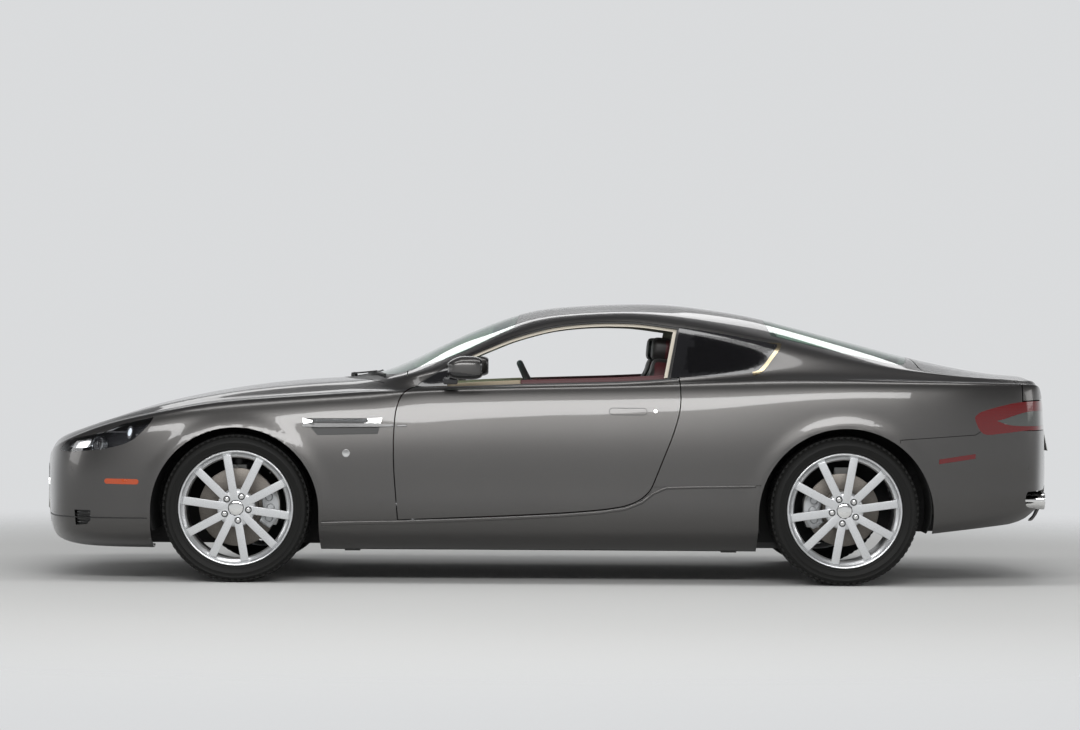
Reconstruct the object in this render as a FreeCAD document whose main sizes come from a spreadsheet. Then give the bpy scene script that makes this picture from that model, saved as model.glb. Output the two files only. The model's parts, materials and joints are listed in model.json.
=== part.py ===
import FreeCAD, Part
import math
import os

import Sketcher
from FreeCAD import Placement, Rotation, Vector

# Two-door grand touring coupe. Millimetres, +X to the tail, +Y to the right, +Z up.
# The origin is on the ground, half way along, on the centre plane.

SIZES = [
    # overall
    ("wheelbase", 2740), ("frontOverhang", 952), ("rearOverhang", 1008), ("bodyWidth", 1875),
    ("groundGap", 150), ("beltHeight", 900), ("roofHeight", 1272),
    # wheels and tyres
    ("frontTrack", 1568), ("rearTrack", 1562), ("frontTyreRadius", 335), ("rearTyreRadius", 337.5),
    ("frontTyreWidth", 235), ("rearTyreWidth", 275), ("rimRadius", 256), ("rimWall", 12),
    ("spokeWidth", 36), ("spokeDepth", 34), ("spokeCount", 10), ("hubRadius", 74), ("hubDepth", 60),
    ("capRadius", 33), ("frontDiscRadius", 177), ("rearDiscRadius", 165), ("discThickness", 30),
    ("bellRadius", 95), ("spindleRadius", 24), ("spindleGap", 0.08),
    ("seatGap", 0.3), ("kingpinInset", 60), ("kingpinRadius", 12),
    # arches
    ("frontArchRadius", 380), ("rearArchRadius", 396), ("frontWellRadius", 388), ("rearWellRadius", 392),
    ("frontWellInner", 488), ("rearWellInner", 612), ("linerWall", 5),
    # panels
    ("panelGap", 6), ("lidWall", 22), ("wingWall", 12), ("bumperWall", 26), ("roofWall", 38),
    ("glassWall", 6), ("doorWall", 76), ("floorWall", 42), ("lampDepth", 70),
]

# Places on the drawing that the sizes above stretch.
DRAWN_FRONT_AXLE, DRAWN_REAR_AXLE = -1398.0, 1342.0
DRAWN_NOSE, DRAWN_TAIL = -2350.0, 2350.0
DRAWN_HALF_WIDTH = 937.5
DRAWN_GROUND_GAP, DRAWN_BELT, DRAWN_ROOF = 150.0, 900.0, 1272.0

doc = FreeCAD.newDocument("coupe")
sheet = doc.addObject("Spreadsheet::Sheet", "sizes")
for line, (name, value) in enumerate(SIZES, start=1):
    sheet.set("A%d" % line, name)
    sheet.set("B%d" % line, str(value))
    sheet.setAlias("B%d" % line, name)
doc.recompute()


def size(name):
    return float(sheet.get(name))


HALF_LENGTH = (size("frontOverhang") + size("wheelbase") + size("rearOverhang")) / 2
FRONT_AXLE = size("frontOverhang") - HALF_LENGTH
REAR_AXLE = HALF_LENGTH - size("rearOverhang")


def place_x(x):
    if x < DRAWN_FRONT_AXLE:
        share = size("frontOverhang") / (DRAWN_FRONT_AXLE - DRAWN_NOSE)
        return FRONT_AXLE + (x - DRAWN_FRONT_AXLE) * share
    if x > DRAWN_REAR_AXLE:
        share = size("rearOverhang") / (DRAWN_TAIL - DRAWN_REAR_AXLE)
        return REAR_AXLE + (x - DRAWN_REAR_AXLE) * share
    share = size("wheelbase") / (DRAWN_REAR_AXLE - DRAWN_FRONT_AXLE)
    return FRONT_AXLE + (x - DRAWN_FRONT_AXLE) * share


def place_y(y):
    return y * size("bodyWidth") / 2 / DRAWN_HALF_WIDTH


def place_z(z):
    if z > DRAWN_BELT:
        share = (size("roofHeight") - size("beltHeight")) / (DRAWN_ROOF - DRAWN_BELT)
        return size("beltHeight") + (z - DRAWN_BELT) * share
    share = (size("beltHeight") - size("groundGap")) / (DRAWN_BELT - DRAWN_GROUND_GAP)
    return size("groundGap") + (z - DRAWN_GROUND_GAP) * share


def at(x, y, z):
    return Vector(place_x(x), place_y(y), place_z(z))


# Half sections of the outer skin, nose to tail. The columns are the station x, then height
# and half width of the bottom edge, sill crease, widest point, shoulder, belt and roof rail,
# and the height on the centre plane.
#     x     bottom     crease     waist      shoulder   belt       rail       crown
STATIONS = [
    (-2346, 300, 240, 335, 330, 430, 390, 520, 350, 538, 290, 546, 200, 552),
    (-2310, 222, 420, 272, 520, 430, 590, 556, 540, 580, 450, 592, 300, 602),
    (-2240, 178, 560, 230, 690, 430, 742, 592, 690, 622, 600, 640, 400, 651),
    (-2130, 156, 650, 215, 795, 440, 832, 640, 782, 668, 690, 681, 450, 689),
    (-1980, 150, 700, 210, 862, 460, 890, 695, 842, 716, 722, 733, 480, 745),
    (-1800, 150, 740, 215, 890, 500, 915, 738, 868, 761, 712, 788, 480, 800),
    (-1600, 150, 750, 225, 900, 520, 928, 778, 865, 801, 702, 831, 480, 845),
    (-1400, 150, 755, 235, 905, 540, 932, 802, 862, 831, 694, 865, 470, 880),
    (-1150, 150, 760, 247, 905, 560, 925, 818, 860, 851, 690, 893, 460, 909),
    (-960, 150, 760, 247, 904, 570, 918, 830, 856, 869, 694, 906, 458, 919),
    (-800, 150, 760, 247, 903, 576, 913, 838, 852, 890, 706, 922, 480, 938),
    (-620, 150, 760, 247, 902, 580, 909, 848, 851, 878, 790, 948, 702, 1010),
    (-450, 150, 760, 247, 902, 580, 908, 854, 851, 884, 786, 994, 674, 1093),
    (-300, 150, 760, 247, 902, 580, 908, 859, 851, 889, 783, 1064, 654, 1158),
    (-120, 150, 760, 247, 902, 580, 908, 864, 851, 897, 779, 1146, 632, 1223),
    (60, 150, 760, 247, 902, 580, 908, 867, 851, 902, 776, 1183, 620, 1254),
    (300, 150, 760, 249, 903, 580, 909, 872, 850, 909, 769, 1199, 610, 1268),
    (450, 150, 760, 250, 904, 580, 910, 877, 850, 916, 763, 1196, 605, 1271),
    (640, 150, 760, 252, 906, 582, 913, 885, 852, 931, 752, 1174, 600, 1263),
    (900, 150, 760, 254, 908, 590, 922, 898, 864, 954, 738, 1128, 588, 1226),
    (1075, 150, 760, 256, 908, 600, 930, 903, 876, 962, 742, 1098, 584, 1189),
    (1340, 152, 750, 258, 900, 610, 936, 901, 892, 950, 772, 1044, 606, 1121),
    (1560, 160, 730, 260, 890, 610, 932, 900, 895, 938, 786, 996, 648, 1066),
    (1700, 172, 710, 268, 880, 610, 922, 900, 888, 930, 780, 972, 678, 1028),
    (1900, 196, 680, 290, 850, 600, 895, 901, 866, 920, 755, 947, 662, 985),
    (2100, 228, 620, 320, 790, 580, 838, 892, 806, 908, 705, 927, 600, 951),
    (2262, 290, 500, 350, 680, 560, 735, 876, 690, 896, 600, 918, 460, 938),
    (2304, 330, 430, 380, 590, 540, 640, 760, 600, 800, 520, 818, 380, 826),
    (2348, 392, 320, 415, 400, 470, 450, 530, 420, 548, 350, 556, 240, 560),
]


def section_points(row):
    pairs = [(row[i + 1], row[i]) for i in range(1, 13, 2)] + [(0, row[13])]
    return [(place_y(y), place_z(z)) for y, z in pairs]


def inset_points(points, depth):
    # Moves the half section inwards, each corner along the mean of its two walls.
    ring = [(0, points[0][1])] + points + [(-points[-2][0], points[-2][1])]
    moved = []
    for i in range(1, len(ring) - 1):
        walls = []
        for a, b in ((ring[i - 1], ring[i]), (ring[i], ring[i + 1])):
            run = math.hypot(b[0] - a[0], b[1] - a[1])
            walls.append(((a[1] - b[1]) / run, (b[0] - a[0]) / run))
        ny = walls[0][0] + walls[1][0]
        nz = walls[0][1] + walls[1][1]
        reach = depth * 2 / max(0.6, ny * ny + nz * nz)
        moved.append((ring[i][0] + ny * reach, ring[i][1] + nz * reach))
    moved[-1] = (0, moved[-1][1])
    return moved


def section_wire(x, points):
    # One closed section: sill line, three arcs up each side and one over the top.
    def bend(a, b, rise):
        along = math.hypot(b[0] - a[0], b[1] - a[1])
        out = ((b[1] - a[1]) / along * rise, (a[0] - b[0]) / along * rise)
        return ((a[0] + b[0]) / 2 + out[0], (a[1] + b[1]) / 2 + out[1])

    bottom, crease, waist, shoulder, belt, rail, crown = points
    arcs = [(crease, waist, shoulder), (shoulder, bend(shoulder, belt, 4), belt), (belt, bend(belt, rail, 7), rail)]
    edges = []
    for side in (-1, 1):
        half = [Part.LineSegment(Vector(x, side * bottom[0], bottom[1]), Vector(x, side * crease[0], crease[1]))]
        half += [Part.Arc(*[Vector(x, side * y, z) for y, z in arc]) for arc in arcs]
        edges += [edge.toShape() for edge in (half if side < 0 else half[::-1])]
        if side < 0:
            ends = [Vector(x, -rail[0], rail[1]), Vector(x, 0, crown[1]), Vector(x, rail[0], rail[1])]
            edges.append(Part.Arc(*ends).toShape())
    floor = [Vector(x, bottom[0], bottom[1]), Vector(x, -bottom[0], bottom[1])]
    return Part.Wire(edges + [Part.LineSegment(*floor).toShape()])


def body_loft(first, last, depth=0.0):
    # The outer skin between two stations, or the same skin a wall's depth further in.
    rows = [row for row in STATIONS if first <= row[0] <= last]
    shrink = (HALF_LENGTH - depth) / HALF_LENGTH
    wires = []
    for row in rows:
        points = section_points(row)
        if depth:
            points = inset_points(points, depth)
        wires.append(section_wire(place_x(row[0]) * shrink, points))
    return Part.makeLoft(wires, True, True)


# Side outlines (x, z) and plan outlines (x, y) on the same drawing, left side.
DOOR_FRONT = [(-666, 289), (-675, 397), (-684, 509), (-687, 644), (-680, 766), (-662, 829), (-639, 861),
              (-608, 879)]
DOOR_REAR = [(598, 930), (602, 832), (593, 764), (566, 674), (521, 561), (485, 471), (463, 426),
             (418, 385), (351, 357)]
DOOR_BELT = [(-450, 886), (-300, 891), (-120, 899), (60, 904), (300, 911), (450, 918)]
DOOR_FOOT = [(238, 339), (58, 324), (-212, 309), (-437, 299)]
DOOR = DOOR_FRONT + DOOR_BELT + DOOR_REAR + DOOR_FOOT
DOOR_WINDOW = [(-606, 850), (-612, 876), (-536, 931), (-444, 986), (-353, 1035), (-261, 1075), (-169, 1112),
               (-78, 1140), (14, 1163), (105, 1177), (197, 1185), (289, 1188), (426, 1184), (605, 1161),
               (556, 925), (556, 850)]
QUARTER_WINDOW = [(596, 936), (783, 944), (910, 956), (964, 970), (1018, 1032), (1055, 1083), (1022, 1091),
                  (930, 1107), (793, 1133), (651, 1154)]
FRONT_SEAM = [(-1990, 545), (-1861, 511), (-1834, 498), (-1640, 498)]
SILL_TOP = [(-1100, 274), (-667, 279), (-437, 289), (-212, 299), (58, 314), (238, 329), (355, 346),
            (424, 375), (470, 418), (478, 440), (1100, 452)]
FRONT_BUMPER = [(-2450, -50), (-1640, -50)] + FRONT_SEAM[::-1] + [(-1990, 1050), (-2450, 1050)]
WING = (FRONT_SEAM + [(-1640, 200), (-1100, 200), (-1100, 274), (-667, 279)] + DOOR_FRONT
        + [(-636, 930), (-660, 1050), (-1990, 1050)])
SILL = [(-1100, 0)] + SILL_TOP + [(1100, 0)]
REAR_BUMPER = [(1590, 0), (1590, 657), (1932, 681), (1963, 700), (2450, 700), (2450, 0)]
HEADLAMP = [(-2220, 585), (-2174, 631), (-2083, 654), (-1983, 677), (-1910, 710), (-1773, 742),
            (-1787, 715), (-1855, 646), (-1910, 618), (-1983, 600), (-2151, 581)]
TAIL_LAMP = [(1929, 760), (1963, 788), (2140, 830), (2450, 838), (2450, 700), (2185, 703), (2054, 689),
             (1967, 688)]
VENT = [(-1099, 741), (-743, 743), (-760, 672), (-1031, 665)]
DUCT = [(-2133, 321), (-2056, 321), (-2056, 276), (-2074, 257), (-2128, 252)]
SAIL = [(-600, 884), (-452, 890), (-452, 974), (-528, 930)]

BONNET_EDGE = [(-2255, 0), (-2238, -250), (-2192, -440), (-2100, -560), (-1960, -650), (-1810, -705),
               (-1500, -700), (-1100, -690), (-800, -695), (-744, -690), (-800, -600), (-880, -420),
               (-935, -220), (-961, 0)]
WINDSCREEN_EDGE = [(-818, 0), (-795, -280), (-740, -480), (-690, -590), (-620, -628), (-450, -612),
                   (-300, -596), (-150, -560), (-135, -300), (-127, 0)]
REAR_WINDOW_EDGE = [(1016, 0), (1018, -300), (1032, -515), (1300, -556), (1600, -606), (1640, -560),
                    (1676, -300), (1686, 0)]
BOOT_EDGE = [(1706, 0), (1706, -600), (1729, -690), (1900, -668), (2133, -650), (2156, -720), (2156, -930),
             (2450, -930), (2450, 0)]
COWL_EDGE = [(-980, 0), (-980, -400), (-740, -652), (-690, -600), (-690, 0)]

LEFT, RIGHT = -1, 1
LAMP_INNER = 430


def mirrored_edge(edge):
    # Closes a left-hand plan outline with its mirror image.
    other = [(x, -y) for x, y in edge if y != 0]
    return edge + other[::-1]


def prism(corners, direction, grow):
    outline = Part.makePolygon(corners + corners[:1])
    if grow:
        outline = outline.makeOffset2D(grow, 2)
    return Part.Face(outline).extrude(direction)


def side_prism(outline, inner, outer, grow=0.0):
    # Left-hand block from the side outline, between two distances from the centre plane.
    corners = [Vector(place_x(x), -outer, place_z(z)) for x, z in outline]
    return prism(corners, Vector(0, outer - inner, 0), grow)


def plan_prism(outline, low, high, grow=0.0):
    corners = [Vector(place_x(x), place_y(y), low) for x, y in outline]
    return prism(corners, Vector(0, 0, high - low), grow)


def box(x0, x1, y0, y1, z0, z1):
    return Part.makeBox(x1 - x0, y1 - y0, z1 - z0, Vector(x0, y0, z0))


def tube_y(radius, y0, y1, x, z):
    return Part.makeCylinder(radius, y1 - y0, Vector(x, y0, z), Vector(0, 1, 0))


def flipped(shape):
    return shape.mirror(Vector(0, 0, 0), Vector(0, 1, 0))


def both(shape):
    return shape.fuse(flipped(shape))


def cut_all(shape, *tools):
    for tool in tools:
        shape = shape.cut(tool)
    return shape


def largest(shape):
    return max(shape.Solids, key=lambda solid: solid.Volume)


def solids_over(shape, least=2000.0):
    kept = [solid for solid in shape.Solids if solid.Volume > least]
    return kept[0] if len(kept) == 1 else Part.makeCompound(kept)


def add_piece(name, shape):
    piece = doc.addObject("Part::Feature", name)
    piece.Label = name
    piece.Shape = shape
    PIECES.append(piece)
    return piece


def add_pair(name, shape):
    add_piece(name + "_left", shape)
    add_piece(name + "_right", flipped(shape))


PIECES = []
WIDE, TALL = 1100.0, 1500.0
GAP = size("panelGap")
FIT = size("seatGap")


def shell(first, last, wall, lift=0.0):
    return body_loft(first, last, -lift).cut(body_loft(first, last, wall))


# ---- hollow spaces -------------------------------------------------------------------------

def cabin_space():
    floor_low = size("groundGap") + size("floorWall")
    roof = size("roofWall")
    wires = []
    for row in STATIONS:
        if not -810 < row[0] < 1345:
            continue
        belt_z, belt_y, rail_z, rail_y, crown_z = row[9:14]
        wall = place_y(belt_y) - size("doorWall")
        low = place_z(420) if row[0] > 890 else floor_low
        points = [
            (wall - 30, low), (wall - 6, low + 60), (wall + 2, (low + place_z(780)) / 2),
            (wall, place_z(780)), (wall - 1, place_z(belt_z) - 30),
            (place_y(rail_y) - roof, place_z(rail_z) - roof), (0, place_z(crown_z) - roof),
        ]
        wires.append(section_wire(place_x(row[0]), points))
    return Part.makeLoft(wires, True, True)


def shelf_space():
    inside = body_loft(1340, 1700, size("roofWall"))
    return inside.common(box(place_x(1330), place_x(1690), -580, 580, place_z(930), TALL))


def boot_space():
    inside = body_loft(1340, 2304, size("lidWall") + 2)
    low = box(place_x(1480), place_x(2236), -540, 540, place_z(440), place_z(880))
    mouth = box(place_x(1716), place_x(2236), -600, 600, place_z(870), TALL)
    return inside.common(low.fuse(mouth))


def well(axle, z, radius, inner, outer):
    return both(tube_y(radius, -outer, -inner, axle, z))


# ---- bodywork ------------------------------------------------------------------------------

def hinge_sweep(profile, foot, head, clearance, seam):
    # Solid of revolution about a hinge line, as wide at each height as the edge given.
    # Its seam runs along X on the side that cuts nothing.
    axis = (head - foot).normalize()
    corners = [(reach + clearance, height) for reach, height in profile]
    points = [foot + axis * height for _, height in (corners[0], corners[-1])]
    side = Vector(seam, 0, 0)
    ring = [points[0]] + [foot + axis * height + side * reach for reach, height in corners] + [points[1]]
    face = Part.Face(Part.makePolygon(ring + ring[:1]))
    return face.revolve(foot, axis, 360)


DOOR_HINGE_X = -628
DOOR_HINGE_FOOT = at(DOOR_HINGE_X, -893, 330)
DOOR_HINGE_HEAD = at(DOOR_HINGE_X, -873, 760)


PIVOT_RADIUS, PIVOT_FOOT, PIVOT_HEAD = 6.0, -80.0, -12.0


def door_pivot(clearance):
    # Pin at the foot of the hinge line, or the bore that it turns in.
    axis = (DOOR_HINGE_HEAD - DOOR_HINGE_FOOT).normalize()
    length = PIVOT_HEAD - PIVOT_FOOT + 2 * clearance
    start = DOOR_HINGE_FOOT + axis * (PIVOT_FOOT - clearance)
    return Part.makeCylinder(PIVOT_RADIUS + clearance, length, start, axis)


def skin_edge(skin, x, z):
    # Where the outer skin crosses a line across the car on the left.
    ray = Part.makeLine(Vector(x, -WIDE, z), Vector(x, 0, z))
    return min(v.Point.y for v in ray.common(skin).Vertexes)


def edge_profile(skin, outline):
    # Distance from the hinge line, and height along it, of the door's edge at the skin.
    axis = (DOOR_HINGE_HEAD - DOOR_HINGE_FOOT).normalize()
    rows = []
    for x, z in outline:
        px, pz = place_x(x), place_z(z)
        point = Vector(px, skin_edge(skin, px, pz), pz)
        height = (point - DOOR_HINGE_FOOT).dot(axis)
        rows.append(((point - DOOR_HINGE_FOOT - axis * height).Length, height))
    return sorted(rows, key=lambda row: row[1])


def make_bodywork():
    wing_wall, lid_wall, bumper_wall = size("wingWall"), size("lidWall"), size("bumperWall")
    outer = body_loft(-2400, 2400)
    cabin = cabin_space()
    front_well_z = size("frontTyreRadius")
    rear_well_z = size("rearTyreRadius")
    liner = size("linerWall") + FIT
    front_wells = well(FRONT_AXLE, front_well_z, size("frontWellRadius") + liner, size("frontWellInner") - liner, 880)
    rear_wells = well(REAR_AXLE, rear_well_z, size("rearWellRadius") + liner, size("rearWellInner") - liner, 880)
    front_arches = well(place_x(-1402), place_z(320), size("frontArchRadius"), 870, WIDE)
    rear_arches = well(place_x(1349), place_z(313), size("rearArchRadius"), 870, WIDE)
    front_round = front_wells.fuse(front_arches)
    rear_round = rear_wells.fuse(rear_arches)

    def side(outline, grow=0.0, inner=-WIDE, outer_y=WIDE):
        return side_prism(outline, inner, outer_y, grow)

    bonnet_cut = plan_prism(mirrored_edge(BONNET_EDGE), place_z(500), TALL, GAP)
    bonnet_tool = plan_prism(mirrored_edge(BONNET_EDGE), place_z(500), TALL)
    windscreen_tool = plan_prism(mirrored_edge(WINDSCREEN_EDGE), place_z(860), TALL)
    rear_window_tool = plan_prism(mirrored_edge(REAR_WINDOW_EDGE), place_z(950), TALL)
    cowl_tool = plan_prism(mirrored_edge(COWL_EDGE), place_z(800), TALL)
    lid_low = place_z(705)
    boot_tool = plan_prism(mirrored_edge(BOOT_EDGE), lid_low, TALL)
    boot_cut = plan_prism(mirrored_edge(BOOT_EDGE), lid_low - GAP, TALL, GAP)
    headlamp_cut = both(side_prism(HEADLAMP, 0, WIDE))
    tail_cut = both(side_prism(TAIL_LAMP, LAMP_INNER, WIDE))

    # bonnet
    front_skin = shell(-2400, -600, lid_wall)
    bonnet = cut_all(front_skin.common(bonnet_tool), headlamp_cut)
    add_piece("bonnet", largest(bonnet))

    # doors
    door_skin = outer.common(box(place_x(-700), place_x(620), -WIDE, 0, place_z(250), place_z(960)))
    door = door_skin.cut(cabin).common(side(DOOR, 0, 0))
    front_edge = edge_profile(outer, DOOR_FRONT)
    rear_edge = edge_profile(outer, DOOR_REAR)
    reach = hinge_sweep([(rear_edge[0][0], rear_edge[0][1] - 120)] + rear_edge
                        + [(rear_edge[-1][0], rear_edge[-1][1] + 80)], DOOR_HINGE_FOOT, DOOR_HINGE_HEAD, 0.5, -1)
    door = door.common(reach)
    sweep = hinge_sweep([(front_edge[0][0], front_edge[0][1] - 30)] + front_edge, DOOR_HINGE_FOOT,
                        DOOR_HINGE_HEAD, GAP - 0.5, 1)
    sail = shell(-700, -300, 10).common(side(SAIL, 0, 0)).cut(side(DOOR, 0.0, 0))
    add_pair("door", largest(door.cut(door_pivot(FIT))))
    door_cut = side(DOOR, GAP, 0)
    door_cut = door_cut.fuse(sweep.common(box(-2400, place_x(DOOR_HINGE_X), -WIDE, 0, 0, TALL)))

    # front bumper with its mouth, corner ducts and lamp places
    bumper_skin = shell(-2400, -1500, bumper_wall)
    mouth = Part.Face(Part.makePolygon([at(-2450, y, z) for y, z in MOUTH + MOUTH[:1]]))
    mouth = mouth.extrude(Vector(place_x(-2080) - place_x(-2450), 0, 0))
    ducts = both(side(DUCT, 0, 500))
    bumper = bumper_skin.common(side(FRONT_BUMPER))
    underside = box(place_x(-2050), place_x(-1600), -620, 620, 0, place_z(200))
    bumper = cut_all(bumper, bonnet_cut, headlamp_cut, mouth, ducts, front_round, underside, tow_holes())
    add_piece("front_bumper", solids_over(bumper))

    # wings
    wing_skin = shell(-2050, -580, wing_wall)
    wing = wing_skin.common(side(WING, 0, 200)).cut(bonnet_cut)
    vent = side(VENT, 0, 500)
    wing = cut_all(wing, cowl_tool, windscreen_tool, headlamp_cut, door_cut, front_round, vent)
    add_pair("front_wing", largest(wing))

    # sills
    rockers = outer.common(box(place_x(-1100), place_x(1100), -WIDE, -620, 0, place_z(470))).cut(cabin)
    sill = cut_all(rockers.common(side(SILL, 0, 0)), door_cut, front_round, rear_round)
    add_pair("sill", largest(sill.fuse(door_pivot(0.0))))

    # roof
    roof_tool = box(place_x(-160), place_x(1060), -545, 545, place_z(1000), TALL)
    upper = body_loft(-300, 1340).cut(cabin)
    roof = cut_all(upper.common(roof_tool), windscreen_tool, rear_window_tool)
    add_piece("roof_panel", largest(roof))

    # floor, bulkheads and parcel shelf
    floor_tool = box(place_x(-800), place_x(950), -604, 604, 0, place_z(430))
    floor_tool = floor_tool.fuse(box(place_x(950), place_x(2200), -604, 604, 0, place_z(926)))
    inner_body = body_loft(-960, 2304, 1.0)
    hump = box(place_x(-800), place_x(900), -TUNNEL_HALF, TUNNEL_HALF, FLOOR_TOP - 10, TUNNEL_TOP)
    bore = TUNNEL_HALF - TUNNEL_WALL
    channel = box(place_x(-900), place_x(1050), -bore, bore, 0, TUNNEL_TOP - TUNNEL_WALL)
    tunnel = box(place_x(1010), place_x(1520), -560, 560, 0, place_z(300))
    tunnel = tunnel.fuse(box(REAR_AXLE - 180, REAR_AXLE + 180, -700, 700, 0, place_z(300)))
    tunnel = tunnel.fuse(box(place_x(1500), place_x(2260), -640, 640, 0, place_z(400)))
    tunnel = tunnel.fuse(box(place_x(2080), place_x(2260), -700, 700, 0, place_z(430)))
    floor = inner_body.common(floor_tool).cut(cabin).fuse(hump)
    behind = body_loft(1340, 2400, bumper_wall + FIT)
    behind = side(REAR_BUMPER).cut(behind)
    floor = cut_all(floor, channel, boot_space(), shelf_space(), tunnel, boot_cut, rear_round, behind)
    add_piece("floor_pan", solids_over(floor))

    # firewall
    wall_box = box(place_x(-828), place_x(-800), -618, 618, place_z(190), place_z(960))
    firewall = cut_all(body_loft(-960, -620, 30).common(wall_box), front_round, channel)
    add_piece("firewall", solids_over(firewall))

    # cowl
    cowl = cut_all(front_skin.common(cowl_tool), bonnet_cut, windscreen_tool)
    add_piece("cowl_panel", largest(cowl))

    # sides: hinge pillar, screen pillar, rail, quarter and rear pillar
    blank = outer.common(box(place_x(-636), place_x(2290), -WIDE, 0, 0, TALL))
    post = body_loft(-960, -450, wing_wall + 2).common(box(place_x(-790), place_x(-630), -WIDE, -560,
                                                         place_z(285), place_z(1000)))
    post = cut_all(post, side(WING, 0, 880), cowl_tool)
    blank = blank.fuse(post).cut(cabin)
    blank = cut_all(blank, shelf_space(), boot_space(), roof_tool, floor_tool, windscreen_tool, rear_window_tool)
    blank = cut_all(blank, door_cut, side(SILL, 0, 0), side(WING, 0, 0).common(front_skin_zone()), side(DOOR_WINDOW, 0, 300))
    blank = cut_all(blank, side(QUARTER_WINDOW, 0, 300), side(REAR_BUMPER), tail_cut, boot_cut, rear_round)
    blank = cut_all(blank, tunnel, bonnet_cut, door_pivot(FIT))
    add_pair("body_side", largest(blank))

    # rear bumper
    tail_skin = shell(1500, 2400, bumper_wall)
    rear_bumper = tail_skin.common(side(REAR_BUMPER))
    under = box(place_x(1500), place_x(2040), -640, 640, 0, place_z(290))
    under = under.fuse(box(place_x(2150), place_x(2400), -TAIL_OPENING, TAIL_OPENING, 0, place_z(430)))
    rear_bumper = cut_all(rear_bumper, rear_round, under, exhaust_holes(), tail_cut, tow_holes())
    add_piece("rear_bumper", solids_over(rear_bumper))

    # boot lid
    lid_skin = shell(1600, 2400, lid_wall)
    lid = cut_all(lid_skin.common(boot_tool), both(side_prism(TAIL_LAMP, LAMP_INNER - GAP, WIDE, GAP)))
    add_piece("boot_lid", largest(lid))

    # glass
    glass = size("glassWall")
    screen = plan_prism(mirrored_edge(WINDSCREEN_EDGE), place_z(860), TALL, -FIT)
    add_piece("windscreen", largest(shell(-960, 60, glass).common(screen)))
    back = plan_prism(mirrored_edge(REAR_WINDOW_EDGE), place_z(950), TALL, -FIT)
    add_piece("rear_window", largest(shell(900, 1900, glass).common(back)))
    pane = shell(450, 1340, glass).common(side_prism(QUARTER_WINDOW, 300, WIDE, -FIT))
    add_piece("quarter_windows", Part.makeCompound([largest(pane), flipped(largest(pane))]))

    # lamps
    lamp_wall = size("lampDepth")
    lamp = shell(-2400, -1500, lamp_wall).common(side_prism(HEADLAMP, 200, WIDE, -FIT)).cut(bonnet_cut)
    lamp = largest(lamp)
    add_piece("headlamps", Part.makeCompound([lamp, flipped(lamp)]))
    tail_lamp = shell(1560, 2400, lamp_wall).common(side_prism(TAIL_LAMP, LAMP_INNER + FIT, WIDE, -FIT))
    tail_lamp = largest(tail_lamp)
    add_piece("tail_lamps", Part.makeCompound([tail_lamp, flipped(tail_lamp)]))

    # vents behind the front wheels
    grid = shell(-1400, -600, wing_wall).common(side_prism(VENT, 500, WIDE, -FIT))
    grid = grid.common(body_loft(-1400, -600, 3))
    grid = largest(grid)
    add_piece("side_vents", Part.makeCompound([grid, flipped(grid)]))

    # mirrors on the doors
    sail = largest(sail)
    add_pair("mirror", mirror_shape(sail))


MOUTH = [(-330, 236), (-380, 330), (-360, 470), (-250, 512), (250, 512), (360, 470), (380, 330), (330, 236)]
TIPS = [(-600, 376), (-510, 376)]
TIP_RADIUS = 38


def front_skin_zone():
    return box(place_x(-2400), place_x(-560), -WIDE, 0, 0, TALL)


def exhaust_holes():
    holes = [tube_from(TIP_RADIUS + 4, place_x(2000), place_x(2400), y, place_z(z)) for y, z in TIPS]
    left = holes[0].fuse(holes[1])
    return both(left)


def tube_from(radius, x0, x1, y, z):
    return Part.makeCylinder(radius, x1 - x0, Vector(x0, y, z), Vector(1, 0, 0))


def mirror_shape(sail):
    profile = [(-455, 965), (-436, 1010), (-400, 1027), (-300, 1020), (-279, 1000), (-283, 940), (-300, 922),
               (-400, 918)]
    head = side_prism(profile, place_y(872), place_y(1020))
    head = head.makeFillet(14, head.Edges)
    arm = box(place_x(-470), place_x(-400), place_y(-900), place_y(-778), place_z(896), place_z(934))
    arm = arm.cut(body_loft(-700, -60))
    return head.fuse(largest(arm)).fuse(sail)


# ---- wheels --------------------------------------------------------------------------------

def sketch_plane(body, role):
    return [feature for feature in body.Origin.OriginFeatures if feature.Role == role][0]


def add_ring(name, corners, arcs=()):
    # A body turned about its own Y axis; corners are (radius, offset) expressions.
    body = doc.addObject("PartDesign::Body", name)
    body.Label = name
    sketch = body.newObject("Sketcher::SketchObject", name + "_profile")
    sketch.AttachmentSupport = [(sketch_plane(body, "XY_Plane"), "")]
    sketch.MapMode = "FlatFace"
    values = [(evaluate(r), evaluate(o)) for r, o in corners]
    count = len(corners)
    for i in range(count):
        a, b = values[i], values[(i + 1) % count]
        sketch.addGeometry(Part.LineSegment(Vector(a[0], a[1], 0), Vector(b[0], b[1], 0)))
    for i in range(count):
        sketch.addConstraint(Sketcher.Constraint("Coincident", i, 2, (i + 1) % count, 1))
    for i, (r, o) in enumerate(corners):
        for kind, value, text in (("DistanceX", values[i][0], r), ("DistanceY", values[i][1], o)):
            index = sketch.addConstraint(Sketcher.Constraint(kind, -1, 1, i, 1, value))
            sketch.setExpression("Constraints[%d]" % index, sized(text))
    turn = body.newObject("PartDesign::Revolution", name + "_turn")
    turn.Profile = sketch
    turn.ReferenceAxis = (sketch, ["V_Axis"])
    turn.Angle = 360
    return body


def sized(text):
    # Turns plain size names into references to the sheet.
    words = []
    for word in text.split():
        words.append("sizes." + word if word in NAMES else word)
    return " ".join(words)


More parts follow.
